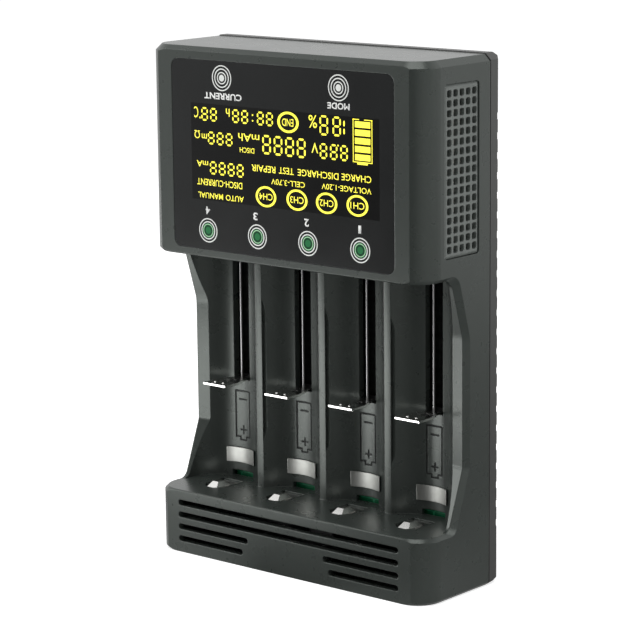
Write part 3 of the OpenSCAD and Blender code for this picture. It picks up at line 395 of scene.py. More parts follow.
# Painted shade: the contact board is painted black below 17.4 mm, where it is seen through the foot's
# vents.
CONTACT_BOARD = SolderMask("contact_board", (0.002, 0.2, 0.075), roughness=0.5, specular=0.3, relief=0.25,
                           relief_scale=700.0, relief_depth=0.03, edge=0.05, hole=(0.01, 0.24, 0.1),
                           painted_shade_below=17.4)
GLASS = Pane("glass", (0.02, 0.02, 0.018), roughness=0.12)
FIELD = Pane("display_field", (0.0022, 0.0024, 0.0022), roughness=0.2, specular=0.22, gloss_drift=0.02)
WHITE_PRINT = Finish("white_print", (0.93, 0.94, 0.92), roughness=0.45, relief=0.2, relief_scale=4000.0,
                     relief_depth=0.005)
RING_PRINT = Finish("ring_print", (0.88, 0.9, 0.87), roughness=0.45, relief=0.2, relief_scale=4000.0,
                    relief_depth=0.005)
LIT_YELLOW = Glow("lit_yellow", (0.86, 0.78, 0.05), roughness=0.4, strength=0.95)
GREEN_RING = Glow("green_ring", (0.33, 0.6, 0.36), roughness=0.4, specular=0.12, strength=0.3)
GREEN_CORE = Glow("green_core", (0.01, 0.1, 0.032), roughness=0.4, specular=0.12, strength=0.8)
GREEN_HALO = Glow("green_halo", (0.001, 0.03, 0.01), roughness=0.4, specular=0.12, strength=0.8)

DRESS = {
    "front_shell": CASE, "back_cover": COVER, "window": WINDOW, "display_glass": GLASS,
    "display_backlight": DIFFUSER, "display_board": BOARD, "touch_springs": SPRING_STEEL,
    "key_lights": LAMP, "main_board": BLACK_BOARD, "microcontroller": CHIP, "power_transistors": CHIP,
    "capacitors": SLEEVE, "display_link": BLACK_MOULDING, "contact_board": CONTACT_BOARD,
    "board_link": BLACK_MOULDING, "power_inlet": BLACK_MOULDING, "inlet_pin": BRASS,
    "side_grille_right": GRILLE, "side_grille_left": GRILLE, "case_screws": SCREW_STEEL,
    "board_screws": SCREW_STEEL, "rubber_feet": RUBBER, "temperature_sensors": CHIP,
    "slider_contact": NICKEL, "slider_carriage": CARRIAGE, "guide_rod": ROD_STEEL,
    "positive_contact": NICKEL, "sensor_plate": SENSOR_NICKEL, "coil": FERRITE,
    "discharge_resistor": CERAMIC,
}


@dataclass
class Wardrobe:
    """Builds each finish once and puts it on the model's nodes."""

    made: dict[str, bpy.types.Material] = field(default_factory=dict)

    def material(self, finish: Finish) -> bpy.types.Material:
        """Material of a finish, built on first use."""
        if finish.name not in self.made:
            self.made[finish.name] = finish.build()
        return self.made[finish.name]

    def dress(self, piece: bpy.types.Object, finish: Finish) -> None:
        """Puts one finish on a whole piece."""
        piece.data.materials.clear()
        piece.data.materials.append(self.material(finish))

    def dress_nodes(self, nodes: dict[str, bpy.types.Object]) -> None:
        """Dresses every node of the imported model, single ones and those of the bays."""
        for name, piece in nodes.items():
            stem = name if name in DRESS else name.rsplit("_", 1)[0]
            if stem in DRESS:
                self.dress(piece, DRESS[stem])
        LOG.info("dressed %d nodes", len(nodes))


# ---------------------------------------------------------------- window print


class Stroke(Enum):
    """Strokes of a seven-segment figure, as (u0, v0, u1, v1) in shares of its width and height."""

    TOP = (0, 1, 1, 1)
    HIGH_RIGHT = (1, 0.5, 1, 1)
    LOW_RIGHT = (1, 0, 1, 0.5)
    BOTTOM = (0, 0, 1, 0)
    LOW_LEFT = (0, 0, 0, 0.5)
    HIGH_LEFT = (0, 0.5, 0, 1)
    MIDDLE = (0, 0.5, 1, 0.5)


FIGURES = {
    "8": tuple(Stroke),
    "1": (Stroke.HIGH_RIGHT, Stroke.LOW_RIGHT),
}


def paint_object(name: str, sheet: bmesh.types.BMesh) -> bpy.types.Object:
    """Makes a scene object from a bmesh.

    Args:
        name: Name of the piece.
        sheet: The bmesh, in the model's frame. It is freed.

    Returns:
        The object, at the origin.
    """
    mesh = bpy.data.meshes.new(name)
    sheet.to_mesh(mesh)
    sheet.free()
    piece = bpy.data.objects.new(name, mesh)
    bpy.context.scene.collection.objects.link(piece)
    return piece


class FlatPrint:
    """Thin shapes on the window's face, gathered in one mesh. They are drawn in the plane of X and Z."""

    STROKE_GAP = 0.55  # space at each end of a figure's stroke, as a share of its width
    STROKE_TAPER = 0.85  # cut at the corners of a stroke, as a share of half its width
    DISC_CORNERS = 40
    LETTER_STEPS = 3  # straight pieces of each curved stretch of a letter
    WELD = 1e-5  # distance within which vertices are joined

    def __init__(self, name: str, behind: float, thickness: float) -> None:
        """Starts an empty print.

        Args:
            name: Name of the piece.
            behind: Y of the face that the print lies on.
            thickness: How far the print stands out of that face.
        """
        self.name = name
        self.behind = behind
        self.thickness = thickness
        self.sheet = bmesh.new()

    def bar(self, box: Box, taper: float = 0.0) -> None:
        """A rectangle, with cut corners where taper isn't 0.

        Args:
            box: x0, z0, x1, z1.
            taper: Size of the cuts.
        """
        x0, z0, x1, z1 = box
        made = bmesh.ops.create_grid(self.sheet, x_segments=1, y_segments=1, size=0.5)["verts"]
        bmesh.ops.scale(self.sheet, vec=(x1 - x0, z1 - z0, 1), verts=made)
        if taper:
            before = set(self.sheet.verts) - set(made)
            bmesh.ops.bevel(self.sheet, geom=made, offset=taper, offset_type="OFFSET", segments=1,
                            profile=0.5, affect="VERTICES", clamp_overlap=True, material=-1)
            made = [v for v in self.sheet.verts if v not in before]
        bmesh.ops.translate(self.sheet, vec=((x0 + x1) / 2, (z0 + z1) / 2, 0), verts=made)

    def ring(self, centre: tuple[float, float], reach: tuple[float, float], width: float,
             steps: int = 56) -> None:
        """A ring, round or oval.

        Args:
            centre: x and z of its centre.
            reach: Its half width and half height, measured to the outside.
            width: Width of its line.
            steps: Corners around it.
        """
        inner = self.sheet.verts.new((reach[0] - width, 0, 0))
        outer = self.sheet.verts.new((reach[0], 0, 0))
        edge = self.sheet.edges.new((inner, outer))
        before = set(self.sheet.verts) - {inner, outer}
        bmesh.ops.spin(self.sheet, geom=[inner, outer, edge], cent=(0, 0, 0), axis=(0, 0, 1),
                       dvec=(0, 0, 0), angle=math.tau, steps=steps, use_merge=True)
        made = [v for v in self.sheet.verts if v not in before]
        bmesh.ops.scale(self.sheet, vec=(1, reach[1] / reach[0], 1), verts=made)
        bmesh.ops.translate(self.sheet, vec=(*centre, 0), verts=made)

    def disc(self, centre: tuple[float, float], radius: float) -> None:
        """A round disc."""
        made = bmesh.ops.create_circle(self.sheet, cap_ends=True, segments=self.DISC_CORNERS,
                                       radius=radius)["verts"]
        bmesh.ops.translate(self.sheet, vec=(*centre, 0), verts=made)

    def figure(self, kind: str, box: Box, stroke: float) -> None:
        """A seven-segment figure that stands on its head, as the whole display does.

        Args:
            kind: The figure, a key of FIGURES.
            box: x0, z0, x1, z1 of the figure.
            stroke: Width of its strokes.
        """
        x0, z0, x1, z1 = box
        half = stroke / 2
        wide, high = x1 - x0 - stroke, z1 - z0 - stroke
        gap, taper = stroke * self.STROKE_GAP, half * self.STROKE_TAPER
        if kind == "1":
            wide = 0.0
        for part in FIGURES[kind]:
            u0, v0, u1, v1 = part.value
            a = Vector((x1 - half - u0 * wide, z1 - half - v0 * high))
            b = Vector((x1 - half - u1 * wide, z1 - half - v1 * high))
            low = Vector((min(a.x, b.x), min(a.y, b.y)))
            top = Vector((max(a.x, b.x), max(a.y, b.y)))
            if v0 == v1:
                self.bar((low.x + gap, low.y - half, top.x - gap, top.y + half), taper)
            else:
                self.bar((low.x - half, low.y + gap, top.x + half, top.y - gap), taper)

    def figures(self, text: str, box: Box, stroke: float, gap: float) -> None:
        """A row of seven-segment figures of one width.

        Args:
            text: The figures, in the order in which they stand from left to right.
            box: x0, z0, x1, z1 of the row.
            stroke: Width of the strokes.
            gap: Space between the figures.
        """
        x0, z0, x1, z1 = box
        wide = (x1 - x0 - gap * (len(text) - 1)) / len(text)
        for i, kind in enumerate(text):
            left = x0 + i * (wide + gap)
            self.figure(kind, (left, z0, left + wide, z1), stroke)

    def word(self, text: str, box: Box, weight: float) -> None:
        """Lettering that stands on its head and fills a box.

        Args:
            text: What it says.
            box: x0, z0, x1, z1 that it fills.
            weight: Extra thickness of the strokes, as a share of the letters' size.
        """
        curve = bpy.data.curves.new(self.name, "FONT")
        curve.body = text
        curve.offset = weight
        curve.resolution_u = self.LETTER_STEPS
        holder = bpy.data.objects.new(self.name, curve)
        bpy.context.scene.collection.objects.link(holder)
        bpy.context.view_layer.update()
        mesh = bpy.data.meshes.new_from_object(holder.evaluated_get(bpy.context.evaluated_depsgraph_get()))
        bpy.data.objects.remove(holder)
        bpy.data.curves.remove(curve)
        corners = [v.co for v in mesh.vertices]
        low = Vector((min(c.x for c in corners), min(c.y for c in corners), 0))
        high = Vector((max(c.x for c in corners), max(c.y for c in corners), 0))
        size = high - low
        x0, z0, x1, z1 = box
        fit = (
            Matrix.Translation(((x0 + x1) / 2, (z0 + z1) / 2, 0))
            @ Matrix.Rotation(math.pi, 4, "Z")
            @ Matrix.Diagonal(((x1 - x0) / size.x, (z1 - z0) / size.y, 1, 1))
            @ Matrix.Translation(-(low + high) / 2)
        )
        mesh.transform(fit)
        self.sheet.from_mesh(mesh)
        bpy.data.meshes.remove(mesh)

    def finish(self) -> bpy.types.Object:
        """Gives the shapes their thickness, stands them up on the window and makes the object."""
        sheet = self.sheet
        bmesh.ops.remove_doubles(sheet, verts=sheet.verts[:], dist=self.WELD)
        raised = bmesh.ops.extrude_face_region(sheet, geom=sheet.faces[:])["geom"]
        tops = [g for g in raised if isinstance(g, bmesh.types.BMVert)]
        bmesh.ops.translate(sheet, vec=(0, 0, self.thickness), verts=tops)
        bmesh.ops.recalc_face_normals(sheet, faces=sheet.faces[:])
        stand = (
            Matrix.Scale(MM, 4)
            @ Matrix.Translation((0, self.behind, 0))
            @ Matrix.Rotation(math.pi / 2, 4, "X")
        )
        bmesh.ops.transform(sheet, matrix=stand, verts=sheet.verts[:])
        piece = paint_object(self.name, sheet)
        LOG.info("%s: %d faces", self.name, len(piece.data.polygons))
        return piece


@dataclass
class WindowPrint:
    """Printed keys, their names and the bays' numbers, all upside down as the charger stands."""

    wardrobe: Wardrobe
    face: float = -18.45
    thickness: float = 0.02
    high_keys: tuple[tuple[float, float], ...] = ((-21.7, 144.2), (21.7, 144.2))
    low_keys: tuple[tuple[float, float], ...] = ((-27.9, 99.5), (-8.9, 99.5), (10.1, 99.5), (29.1, 99.5))
    high_rings: tuple[float, ...] = (3.72, 2.78, 1.78)
    low_rings: tuple[float, ...] = (3.58, 2.68)
    line: float = 0.34
    high_dot: float = 0.98
    halo: float = 2.34
    green_ring: tuple[float, float] = (1.95, 1.68)
    core: float = 1.02
    halo_lift: float = 0.008
    green_lift: float = 0.016
    weight: float = 0.028
    current_box: Box = (-28.5, 138.0, -14.1, 139.9)
    mode_box: Box = (17.7, 138.2, 25.7, 140.05)
    number_size: tuple[float, float] = (1.7, 2.25)
    one_width: float = 1.0
    one_weight: float = 0.004
    number_x: tuple[float, ...] = (-27.9, -9.5, 9.7, 29.0)
    number_z: float = 105.35

    def keys(self) -> bpy.types.Object:
        """White rings and discs of all keys."""
        sheet = FlatPrint("key_rings", self.face, self.thickness)
        for key in self.high_keys:
            for reach in self.high_rings:
                sheet.ring(key, (reach, reach), self.line)
            sheet.disc(key, self.high_dot)
        for key in self.low_keys:
            for reach in self.low_rings:
                sheet.ring(key, (reach, reach), self.line)
        return sheet.finish()

    def names(self) -> bpy.types.Object:
        """Names of the upper keys and numbers of the bays."""
        sheet = FlatPrint("key_names", self.face, self.thickness)
        sheet.word("CURRENT", self.current_box, self.weight)
        sheet.word("MODE", self.mode_box, self.weight)
        low, high = self.number_z - self.number_size[1] / 2, self.number_z + self.number_size[1] / 2
        for number, x in zip("4321", self.number_x):
            wide, weight = self.number_size[0], self.weight
            if number == "1":
                wide, weight = self.one_width, self.one_weight
            sheet.word(number, (x - wide / 2, low, x + wide / 2, high), weight)
        return sheet.finish()

    def green(self, name: str, radius: float, inner: float, lift: float) -> bpy.types.Object:
        """Green rings or discs of the lower keys.

        Args:
            name: Name of the piece.
            radius: Outside of the ring or disc.
            inner: Inside of the ring, or 0 for a disc.
            lift: Thickness of the print.

        Returns:
            The piece.
        """
        sheet = FlatPrint(name, self.face, lift)
        for key in self.low_keys:
            if inner:
                sheet.ring(key, (radius, radius), radius - inner)
            else:
                sheet.disc(key, radius)
        return sheet.finish()

    def build(self) -> None:
        """Makes all prints and lets them ride on the case."""
        pieces = (
            (self.keys(), RING_PRINT),
            (self.names(), WHITE_PRINT),
            (self.green("key_halos", self.halo, 0.0, self.halo_lift), GREEN_HALO),
            (self.green("key_green_rings", *self.green_ring, self.green_lift), GREEN_RING),
            (self.green("key_cores", self.core, 0.0, self.green_lift), GREEN_CORE),
        )
        for piece, finish in pieces:
            self.wardrobe.dress(piece, finish)
            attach(piece, BASE)
        LOG.info("window print: %d pieces", len(pieces))


@dataclass
class Display:
    """Black display field with its lit figures, gauge, channel marks and words.

    A row of figures is its text, box, width of stroke and space between figures. A word is its text and
    box, and a channel its text and centre.
    """

    wardrobe: Wardrobe
    face: float = -18.45
    field_thickness: float = 0.01
    lit_thickness: float = 0.03
    field_box: Box = (-33.9, 108.4, 36.1, 136.5)
    figure_rows: tuple = (
        ("88", (-29.8, 131.5, -23.8, 135.4), 0.5, 0.9),
        ("88", (-17.8, 131.7, -11.8, 135.6), 0.5, 0.9),
        ("88", (-8.4, 131.7, -2.4, 135.6), 0.5, 0.9),
        ("8", (14.8, 130.6, 17.9, 136.2), 0.56, 0.0),
        ("8", (19.5, 130.7, 22.5, 136.2), 0.56, 0.0),
        ("1", (23.3, 130.9, 23.9, 135.8), 0.52, 0.0),
        ("888", (-27.4, 124.8, -17.9, 128.5), 0.5, 0.9),
        ("8888", (-6.5, 123.6, 9.6, 129.1), 0.6, 1.1),
        ("888", (14.8, 124.0, 24.9, 128.4), 0.54, 1.05),
        ("8888", (-26.8, 116.1, -13.8, 119.9), 0.5, 0.9),
    )
    words: tuple = (
        ("C", (-32.6, 132.2, -31.0, 135.4)),
        ("h", (-20.2, 133.3, -18.8, 135.6)),
        ("%", (10.8, 132.4, 13.9, 136.0)),
        ("END", (1.0, 132.2, 5.2, 134.3)),
        ("m", (-29.8, 126.3, -27.8, 127.7)),
        ("Ω", (-32.6, 126.2, -30.5, 128.5)),
        ("mAh", (-15.6, 126.7, -7.6, 128.9)),
        ("DISCH", (-15.1, 123.4, -9.6, 124.9)),
        ("V", (11.8, 125.4, 14.2, 128.3)),
        ("mA", (-31.9, 118.0, -27.5, 119.8)),
        ("REPAIR", (-10.7, 118.4, -1.7, 120.3)),
        ("TEST", (-0.4, 118.5, 5.1, 120.4)),
        ("DISCHARGE", (6.6, 118.5, 21.5, 120.4)),
        ("CHARGE", (22.6, 118.6, 33.2, 120.5)),
        ("DISCH-CURRENT", (-31.9, 112.7, -14.4, 114.6)),
        ("CELL-3.70V", (-3.3, 115.2, 9.2, 116.8)),
        ("VOLTAGE-1.20V", (15.4, 115.5, 33.2, 117.1)),
        ("MANUAL", (-31.6, 108.95, -21.9, 110.6)),
        ("AUTO", (-20.8, 108.95, -13.9, 110.6)),
    )
    channels: tuple = (
        ("CH4", (-5.4, 111.4)), ("CH3", (6.2, 111.5)), ("CH2", (17.1, 111.6)), ("CH1", (28.2, 111.9)),
    )
    word_weight: float = 0.002
    channel_word: tuple[float, float] = (5.0, 1.9)
    channel_ring: tuple[float, float] = (3.88, 3.0)
    channel_line: float = 0.8
    end_place: tuple[float, float] = (3.2, 133.3)
    end_ring: tuple[float, float] = (3.96, 3.0)
    end_line: float = 0.9
    dots: tuple[tuple[float, float], ...] = ((-10.05, 132.8), (-10.05, 134.4), (21.45, 128.15))
    dot: float = 0.27
    degree_place: tuple[float, float] = (-30.35, 132.3)
    degree_ring: tuple[float, float] = (0.34, 0.3)
    degree_line: float = 0.16
    degree_steps: int = 20
    gauge_frame: tuple[Box, ...] = (
        (26.75, 124.2, 27.0, 136.0), (33.4, 124.2, 33.65, 136.0), (26.75, 124.0, 33.65, 124.25),
        (26.75, 135.8, 29.0, 136.05), (30.8, 135.8, 33.65, 136.05), (28.3, 123.45, 32.0, 124.0),
    )
    gauge_bars: int = 5
    gauge_bar: Box = (27.5, 133.72, 32.95, 135.42)
    gauge_pitch: float = 2.28

    def black_field(self) -> bpy.types.Object:
        """The pane behind the lit shapes."""
        sheet = FlatPrint("display_field", self.face, self.field_thickness)
        sheet.bar(self.field_box)
        return sheet.finish()

    def figures(self) -> bpy.types.Object:
        """All seven-segment figures with the colon, the decimal point and the degree sign."""
        sheet = FlatPrint("display_figures", self.face, self.lit_thickness)
        for text, box, stroke, gap in self.figure_rows:
            sheet.figures(text, box, stroke, gap)
        for place in self.dots:
            sheet.disc(place, self.dot)
        sheet.ring(self.degree_place, self.degree_ring, self.degree_line, self.degree_steps)
        return sheet.finish()

    def gauge(self) -> bpy.types.Object:
        """Cell-shaped gauge with five bars, its nub downwards."""
        sheet = FlatPrint("display_gauge", self.face, self.lit_thickness)
        for box in self.gauge_frame:
            sheet.bar(box)
        x0, z0, x1, z1 = self.gauge_bar
        for i in range(self.gauge_bars):
            drop = self.gauge_pitch * i
            sheet.bar((x0, z0 - drop, x1, z1 - drop))
        return sheet.finish()

    def lettering(self) -> bpy.types.Object:
        """Words, units and the ringed channel marks."""
        sheet = FlatPrint("display_words", self.face, self.lit_thickness)
        for text, box in self.words:
            sheet.word(text, box, self.word_weight)
        half_x, half_z = self.channel_word[0] / 2, self.channel_word[1] / 2
        for text, (x, z) in self.channels:
            sheet.word(text, (x - half_x, z - half_z, x + half_x, z + half_z), self.word_weight)
            sheet.ring((x, z), self.channel_ring, self.channel_line)
        sheet.ring(self.end_place, self.end_ring, self.end_line)
        return sheet.finish()

    def build(self) -> None:
        """Makes the display and lets it ride on the case."""
        field_piece = self.black_field()
        self.wardrobe.dress(field_piece, FIELD)
        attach(field_piece, BASE)
        for piece in (self.figures(), self.gauge(), self.lettering()):
            self.wardrobe.dress(piece, LIT_YELLOW)
            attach(piece, BASE)
        LOG.info("display: field, figures, gauge and words")


# ---------------------------------------------------------------- marks in the bays


@dataclass
class PolarityMark:
    """Dark line drawing of a cell that fills the engraving in a bay's floor, with its nub down.

    The minus and the plus are each a width and a height above the mark's low edge, and plus_rise is what
    the plus's upright has beyond its bar at each end.
    """

    wardrobe: Wardrobe
    bay: int
    pitch: float = 24.5
    axis_y: float = -7.153
    radius: float = 12.933
    depth: float = 0.14
    low: float = 31.45
    width: float = 5.8
    height: float = 14.7
    nub: tuple[float, float] = (2.7, 1.0)
    line: float = 0.4
    minus: tuple[float, float] = (3.0, 11.9)
    plus: tuple[float, float] = (2.5, 2.4)
    plus_rise: float = 0.1
    steps: int = 10

    def bar(self, sheet: bmesh.types.BMesh, box: Box) -> None:
        """A rectangle, cut into strips so that it can follow the bay's curve.

        Args:
            sheet: The bmesh it goes into.
            box: x0, z0, x1, z1 from the bay's middle and the mark's low edge.
        """
        x0, z0, x1, z1 = box
        wide = max(1, round((x1 - x0) / self.width * self.steps))
        made = bmesh.ops.create_grid(sheet, x_segments=wide, y_segments=1, size=0.5)["verts"]
        bmesh.ops.scale(sheet, vec=(x1 - x0, z1 - z0, 1), verts=made)
        bmesh.ops.translate(sheet, vec=((x0 + x1) / 2, (z0 + z1) / 2, 0), verts=made)

    def build(self) -> bpy.types.Object:
        """Draws the mark, bends it round the bay's axis and gives it its depth."""
        sheet = bmesh.new()
        half, line, top = self.width / 2, self.line, self.height
        nub_half, nub_drop = self.nub[0] / 2, self.nub[1]
        minus_half, minus_z = self.minus[0] / 2, self.minus[1]
        plus_half, plus_z = self.plus[0] / 2, self.plus[1]
        plus_high = plus_half + self.plus_rise
        for box in (
            (-half, top - line, half, top),
            (-half, 0, line - nub_half, line),
            (nub_half - line, 0, half, line),
            (-half, line, line - half, top - line),
            (half - line, line, half, top - line),
            (-nub_half, -nub_drop, nub_half, line - nub_drop),
            (-nub_half, line - nub_drop, line - nub_half, 0),
            (nub_half - line, line - nub_drop, nub_half, 0),
            (-minus_half, minus_z - line / 2, minus_half, minus_z + line / 2),
            (-plus_half, plus_z - line / 2, plus_half, plus_z + line / 2),
            (-line / 2, plus_z + line / 2, line / 2, plus_z + plus_high),
            (-line / 2, plus_z - plus_high, line / 2, plus_z - line / 2),
        ):
            self.bar(sheet, box)
        for vert in sheet.verts:
            x, z = vert.co.x, vert.co.y
            vert.co = (x, self.axis_y + math.sqrt(self.radius ** 2 - x * x), z)
        raised = bmesh.ops.extrude_face_region(sheet, geom=sheet.faces[:])["geom"]
        fronts = [g for g in raised if isinstance(g, bmesh.types.BMVert)]
        bmesh.ops.translate(sheet, vec=(0, -self.depth, 0), verts=fronts)
        bmesh.ops.recalc_face_normals(sheet, faces=sheet.faces[:])
        across = (MIDDLE_BAY - self.bay) * self.pitch
        place = Matrix.Scale(MM, 4) @ Matrix.Translation((across, 0, self.low))
        bmesh.ops.transform(sheet, matrix=place, verts=sheet.verts[:])
        piece = paint_object(f"polarity_mark_{self.bay}", sheet)
        self.wardrobe.dress(piece, MARK)
        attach(piece, BASE)
        LOG.info("%s: %d faces", piece.name, len(piece.data.polygons))
        return piece


# ---------------------------------------------------------------- springs


@dataclass
class ReturnSpring:
    """Extension spring of one bay, from its post on the shell to the carriage."""

    wardrobe: Wardrobe
    bay: int
    turns: int = 14
    steps: int = 20
    sides: int = 8
    wire: float = 0.19
    clearance: float = 0.01
    low: float = 24.9
    high: float = 44.4

    def build(self) -> bpy.types.Object:
        """Winds the spring and stands it in for the plain node."""
        node = f"return_spring_{self.bay}"
        near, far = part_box(node)
        centre = (near + far) / 2
        radius = (far.x - near.x) / 2 / MM - self.wire - self.clearance
        rise = (self.high - self.low - 2 * self.wire) / (self.turns * self.steps)
        coil = bmesh.new()
        upright = Matrix.Translation((radius, 0, 0)) @ Matrix.Rotation(math.pi / 2, 4, "X")
        wire = bmesh.ops.create_circle(coil, cap_ends=False, segments=self.sides, radius=self.wire,
                                       matrix=upright)["verts"]
        edges = list({e for v in wire for e in v.link_edges})
        bmesh.ops.spin(coil, geom=wire + edges, cent=(0, 0, 0), axis=(0, 0, 1), dvec=(0, 0, rise),
                       angle=math.tau * self.turns, steps=self.turns * self.steps, use_merge=False)
        bmesh.ops.holes_fill(coil, edges=[e for e in coil.edges if e.is_boundary])
        bmesh.ops.recalc_face_normals(coil, faces=coil.faces[:])
        for face in coil.faces:
            face.smooth = True
        place = (
            Matrix.Translation((centre.x, centre.y, (self.low + self.wire) * MM))
            @ Matrix.Scale(MM, 4)
        )
        bmesh.ops.transform(coil, matrix=place, verts=coil.verts[:])
        piece = paint_object(f"spring_{self.bay}", coil)
        self.wardrobe.dress(piece, SPRING_STEEL)
        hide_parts(node)
        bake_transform(piece)
        LOG.info("%s: %d faces", piece.name, len(piece.data.polygons))
        return piece


# ---------------------------------------------------------------- studio


@dataclass(frozen=True)
class SoftBox:
    """Rectangular soft lamp. Its lengths are in metres."""

    name: str
    place: Point
    target: Point
    size: tuple[float, float]
    power: float
    gloss_only: bool = False

    def build(self) -> bpy.types.Object:
        """Hangs the lamp and aims it."""
        lamp = bpy.data.lights.new(self.name, "AREA")
        lamp.shape = "RECTANGLE"
        lamp.size, lamp.size_y = self.size
        lamp.energy = self.power
        piece = bpy.data.objects.new(self.name, lamp)
        piece.location = self.place
        aim = Vector(self.target) - Vector(self.place)
        piece.rotation_mode = "QUATERNION"
        piece.rotation_quaternion = aim.to_track_quat("-Z", "Y")
        piece.visible_camera = False
        piece.visible_diffuse = not self.gloss_only
        bpy.context.scene.collection.objects.link(piece)
        return piece


@dataclass
class Studio:
    """Pale floor, white backdrop, soft lamps and the camera of the photograph's view.

    Lengths are in metres, apart from floor_gap and the lens. Gloss sees the floor at twice floor_gloss of
    the studio's brightness up to gloss_near, at floor_gloss from there to gloss_far, and in full beyond.
    Each span is the range over which a brightness rises, as the cosine of the angle to its direction.
    """

    floor_size: float = 8.0
    floor_gap: float = 0.05
    floor_colour: Colour = (0.8, 0.8, 0.8)
    floor_drift: float = 0.02
    floor_scale: float = 40.0
    floor_glow: float = 0.64
    floor_gloss: float = 0.3
    gloss_near: tuple[float, float] = (0.06, 0.16)
    gloss_far: tuple[float, float] = (0.25, 0.6)
    ambient: float = 0.45
    dim: float = 0.1
    bright: float = 1.0
    bright_way: Point = (-0.645, 0.764, 0.0)
    bright_span: tuple[float, float] = (-0.3, 0.3)
    sheen: float = 0.45
    sheen_way: Point = (-0.843, -0.538, 0.0)
    sheen_span: tuple[float, float] = (0.86, 1.0)
    flank: float = 0.7
    flank_way: Point = (0.996, -0.087, 0.0)
    flank_span: tuple[float, float] = (0.45, 1.1)
    camera_place: Point = (0.48538, -0.57655, 0.22447)
    camera_aim: Point = (-0.63246, 0.74923, -0.19660)
    camera_roll: float = -0.0098
    lens: float = 148.4
    sensor: float = 36.0
    clip_start: float = 0.01
    lamps: tuple[SoftBox, ...] = (
        SoftBox("key_lamp", (-0.95, -0.62, 0.5), (0.0, 0.0, 0.075), (0.6, 0.6), 4.0),
        SoftBox("top_lamp", (0.1, -0.3, 1.3), (0.0, 0.0, 0.05), (0.9, 0.9), 8.0),
        SoftBox("side_lamp", (1.2, 0.5, 0.5), (0.0, 0.0, 0.08), (0.7, 0.7), 3.5),
        SoftBox("low_strip", (-0.125, -0.15, 0.02), (-0.125, 0.0, 0.02), (0.15, 0.04), 0.115, True),
        SoftBox("floor_strip", (-0.12, -0.105, 0.001), (-0.12, -0.105, 1.0), (0.17, 0.055), 0.125, True),
        SoftBox("left_strip", (-0.26, -0.06, 0.035), (0.0, -0.015, 0.035), (0.1, 0.07), 0.1, True),
    )

    def surround(self, tree: Tree, way: bpy.types.NodeSocket) -> bpy.types.NodeSocket:
        """What gloss sees: bright behind on the left, sheens on the left and right, dim in front.

        Args:
            tree: Node tree of the floor or the world.
            way: Direction from the charger, of length 1.

        Returns:
            The brightness in that direction.
        """
        base = tree.step(tree.along(way, self.bright_way), *self.bright_span, self.dim, self.bright)
        sheen = tree.step(tree.along(way, self.sheen_way), *self.sheen_span, 0.0, self.sheen)
        flank = tree.step(tree.along(way, self.flank_way), *self.flank_span, 0.0, self.flank)
        return tree.maths("ADD", base, tree.maths("ADD", sheen, flank))

    def floor(self) -> bpy.types.Object:
        """Plain floor that is white to the camera and keeps the charger's shadow."""
        sheet = bmesh.new()
        bmesh.ops.create_grid(sheet, x_segments=1, y_segments=1, size=self.floor_size / 2)
        bmesh.ops.translate(sheet, vec=(0, 0, -self.floor_gap * MM), verts=sheet.verts[:])
        piece = paint_object("floor", sheet)
        recipe = Recipe("floor")
        recipe.tree.nodes.remove(recipe.shader)
        out = recipe.tree.nodes["Material Output"]
        paler = [c * (1 + self.floor_drift) for c in self.floor_colour]
        drift = recipe.spread(recipe.noise(self.floor_scale), 0.0, 1.0)
        tone = recipe.blend(drift, (*self.floor_colour, 1), (*paler, 1))
        matt = recipe.add("ShaderNodeBsdfDiffuse", {"Color": tone})
        glow = recipe.add("ShaderNodeEmission", {"Color": (1, 1, 1, 1), "Strength": self.floor_glow})
        both = recipe.add("ShaderNodeAddShader", {0: matt.outputs[0], 1: glow.outputs[0]})
        way = recipe.add("ShaderNodeVectorMath", {0: recipe.place}, operation="NORMALIZE").outputs[0]
        reach = recipe.add("ShaderNodeVectorMath", {0: recipe.place}, operation="LENGTH").outputs["Value"]
        close = recipe.maths("ADD", recipe.step(reach, *self.gloss_far, self.floor_gloss, 1.0),
                             recipe.step(reach, *self.gloss_near, self.floor_gloss, 0.0))
        level = recipe.maths("MULTIPLY", self.surround(recipe, way), close)
        mirrored = recipe.add("ShaderNodeEmission", {"Strength": level})
        path = recipe.add("ShaderNodeLightPath").outputs
        seen = recipe.add("ShaderNodeMixShader",
                          {0: path["Is Camera Ray"], 1: matt.outputs[0], 2: both.outputs[0]})
        gloss = recipe.maths("MAXIMUM", path["Is Glossy Ray"], path["Is Transmission Ray"])
        mix = recipe.add("ShaderNodeMixShader", {0: gloss, 1: seen.outputs[0], 2: mirrored.outputs[0]})
        recipe.put(out.inputs["Surface"], mix.outputs[0])
        piece.data.materials.append(recipe.material)
        return piece

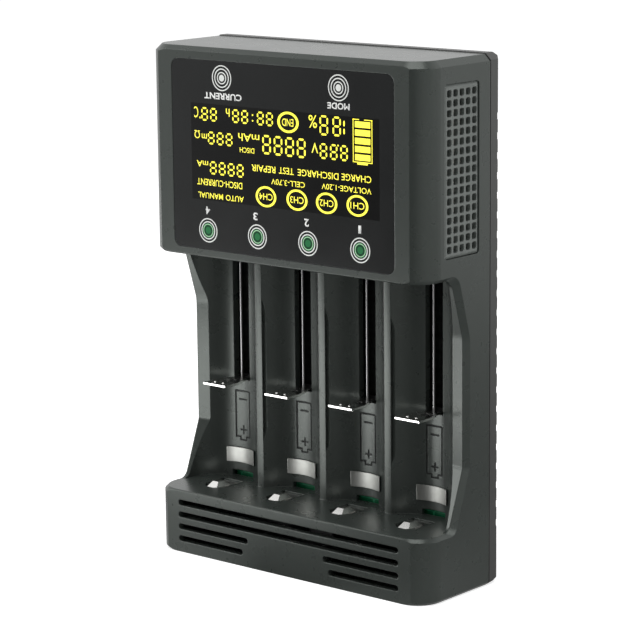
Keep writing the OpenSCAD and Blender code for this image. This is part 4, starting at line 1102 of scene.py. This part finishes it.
    def world(self) -> None:
        """White backdrop for the camera, the studio's brightness for gloss, softer light for the rest."""
        world = bpy.data.worlds.new("studio")
        bpy.context.scene.world = world
        world.use_nodes = True
        world.cycles.sampling_method = "NONE"
        tree = Tree(world.node_tree)
        back = world.node_tree.nodes["Background"]
        path = tree.add("ShaderNodeLightPath").outputs
        gloss = tree.maths("MAXIMUM", path["Is Glossy Ray"], path["Is Transmission Ray"])
        soft = tree.maths("MULTIPLY", tree.maths("SUBTRACT", 1.0, gloss), self.ambient)
        mirrored = tree.maths("MULTIPLY", gloss, self.surround(tree, tree.place))
        level = tree.maths("MAXIMUM", path["Is Camera Ray"], tree.maths("ADD", soft, mirrored))
        back.inputs["Color"].default_value = (1, 1, 1, 1)
        tree.put(back.inputs["Strength"], level)

    def camera(self) -> None:
        """Camera with the photograph's place, aim, roll and lens."""
        eye = bpy.data.cameras.new("camera")
        eye.lens = self.lens
        eye.sensor_width = self.sensor
        eye.clip_start = self.clip_start
        piece = bpy.data.objects.new("camera", eye)
        ahead = Vector(self.camera_aim).normalized()
        right = ahead.cross(Vector((0, 0, 1))).normalized()
        up = right.cross(ahead)
        cos, sin = math.cos(self.camera_roll), math.sin(self.camera_roll)
        side = right * cos + up * sin
        top = up * cos - right * sin
        turn = Matrix((side, top, -ahead)).transposed().to_4x4()
        piece.matrix_world = Matrix.Translation(self.camera_place) @ turn
        bpy.context.scene.collection.objects.link(piece)
        bpy.context.scene.camera = piece

    def build(self) -> None:
        """Sets up floor, backdrop, lamps, camera and the plain view settings."""
        bpy.context.scene.view_settings.view_transform = "Standard"
        self.camera()
        self.floor()
        self.world()
        for lamp in self.lamps:
            lamp.build()
        LOG.info("studio: floor, backdrop, %d lamps and camera", len(self.lamps))


def main() -> None:
    """Builds the whole scene."""
    logging.basicConfig(level=logging.INFO, format="%(name)s: %(message)s")
    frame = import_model()
    Studio().build()
    wardrobe = Wardrobe()
    wardrobe.dress_nodes(frame["nodes"])
    WindowPrint(wardrobe).build()
    Display(wardrobe).build()
    for bay in BAYS:
        PolarityMark(wardrobe, bay).build()
        ReturnSpring(wardrobe, bay).build()


if __name__ == "__main__":
    main()
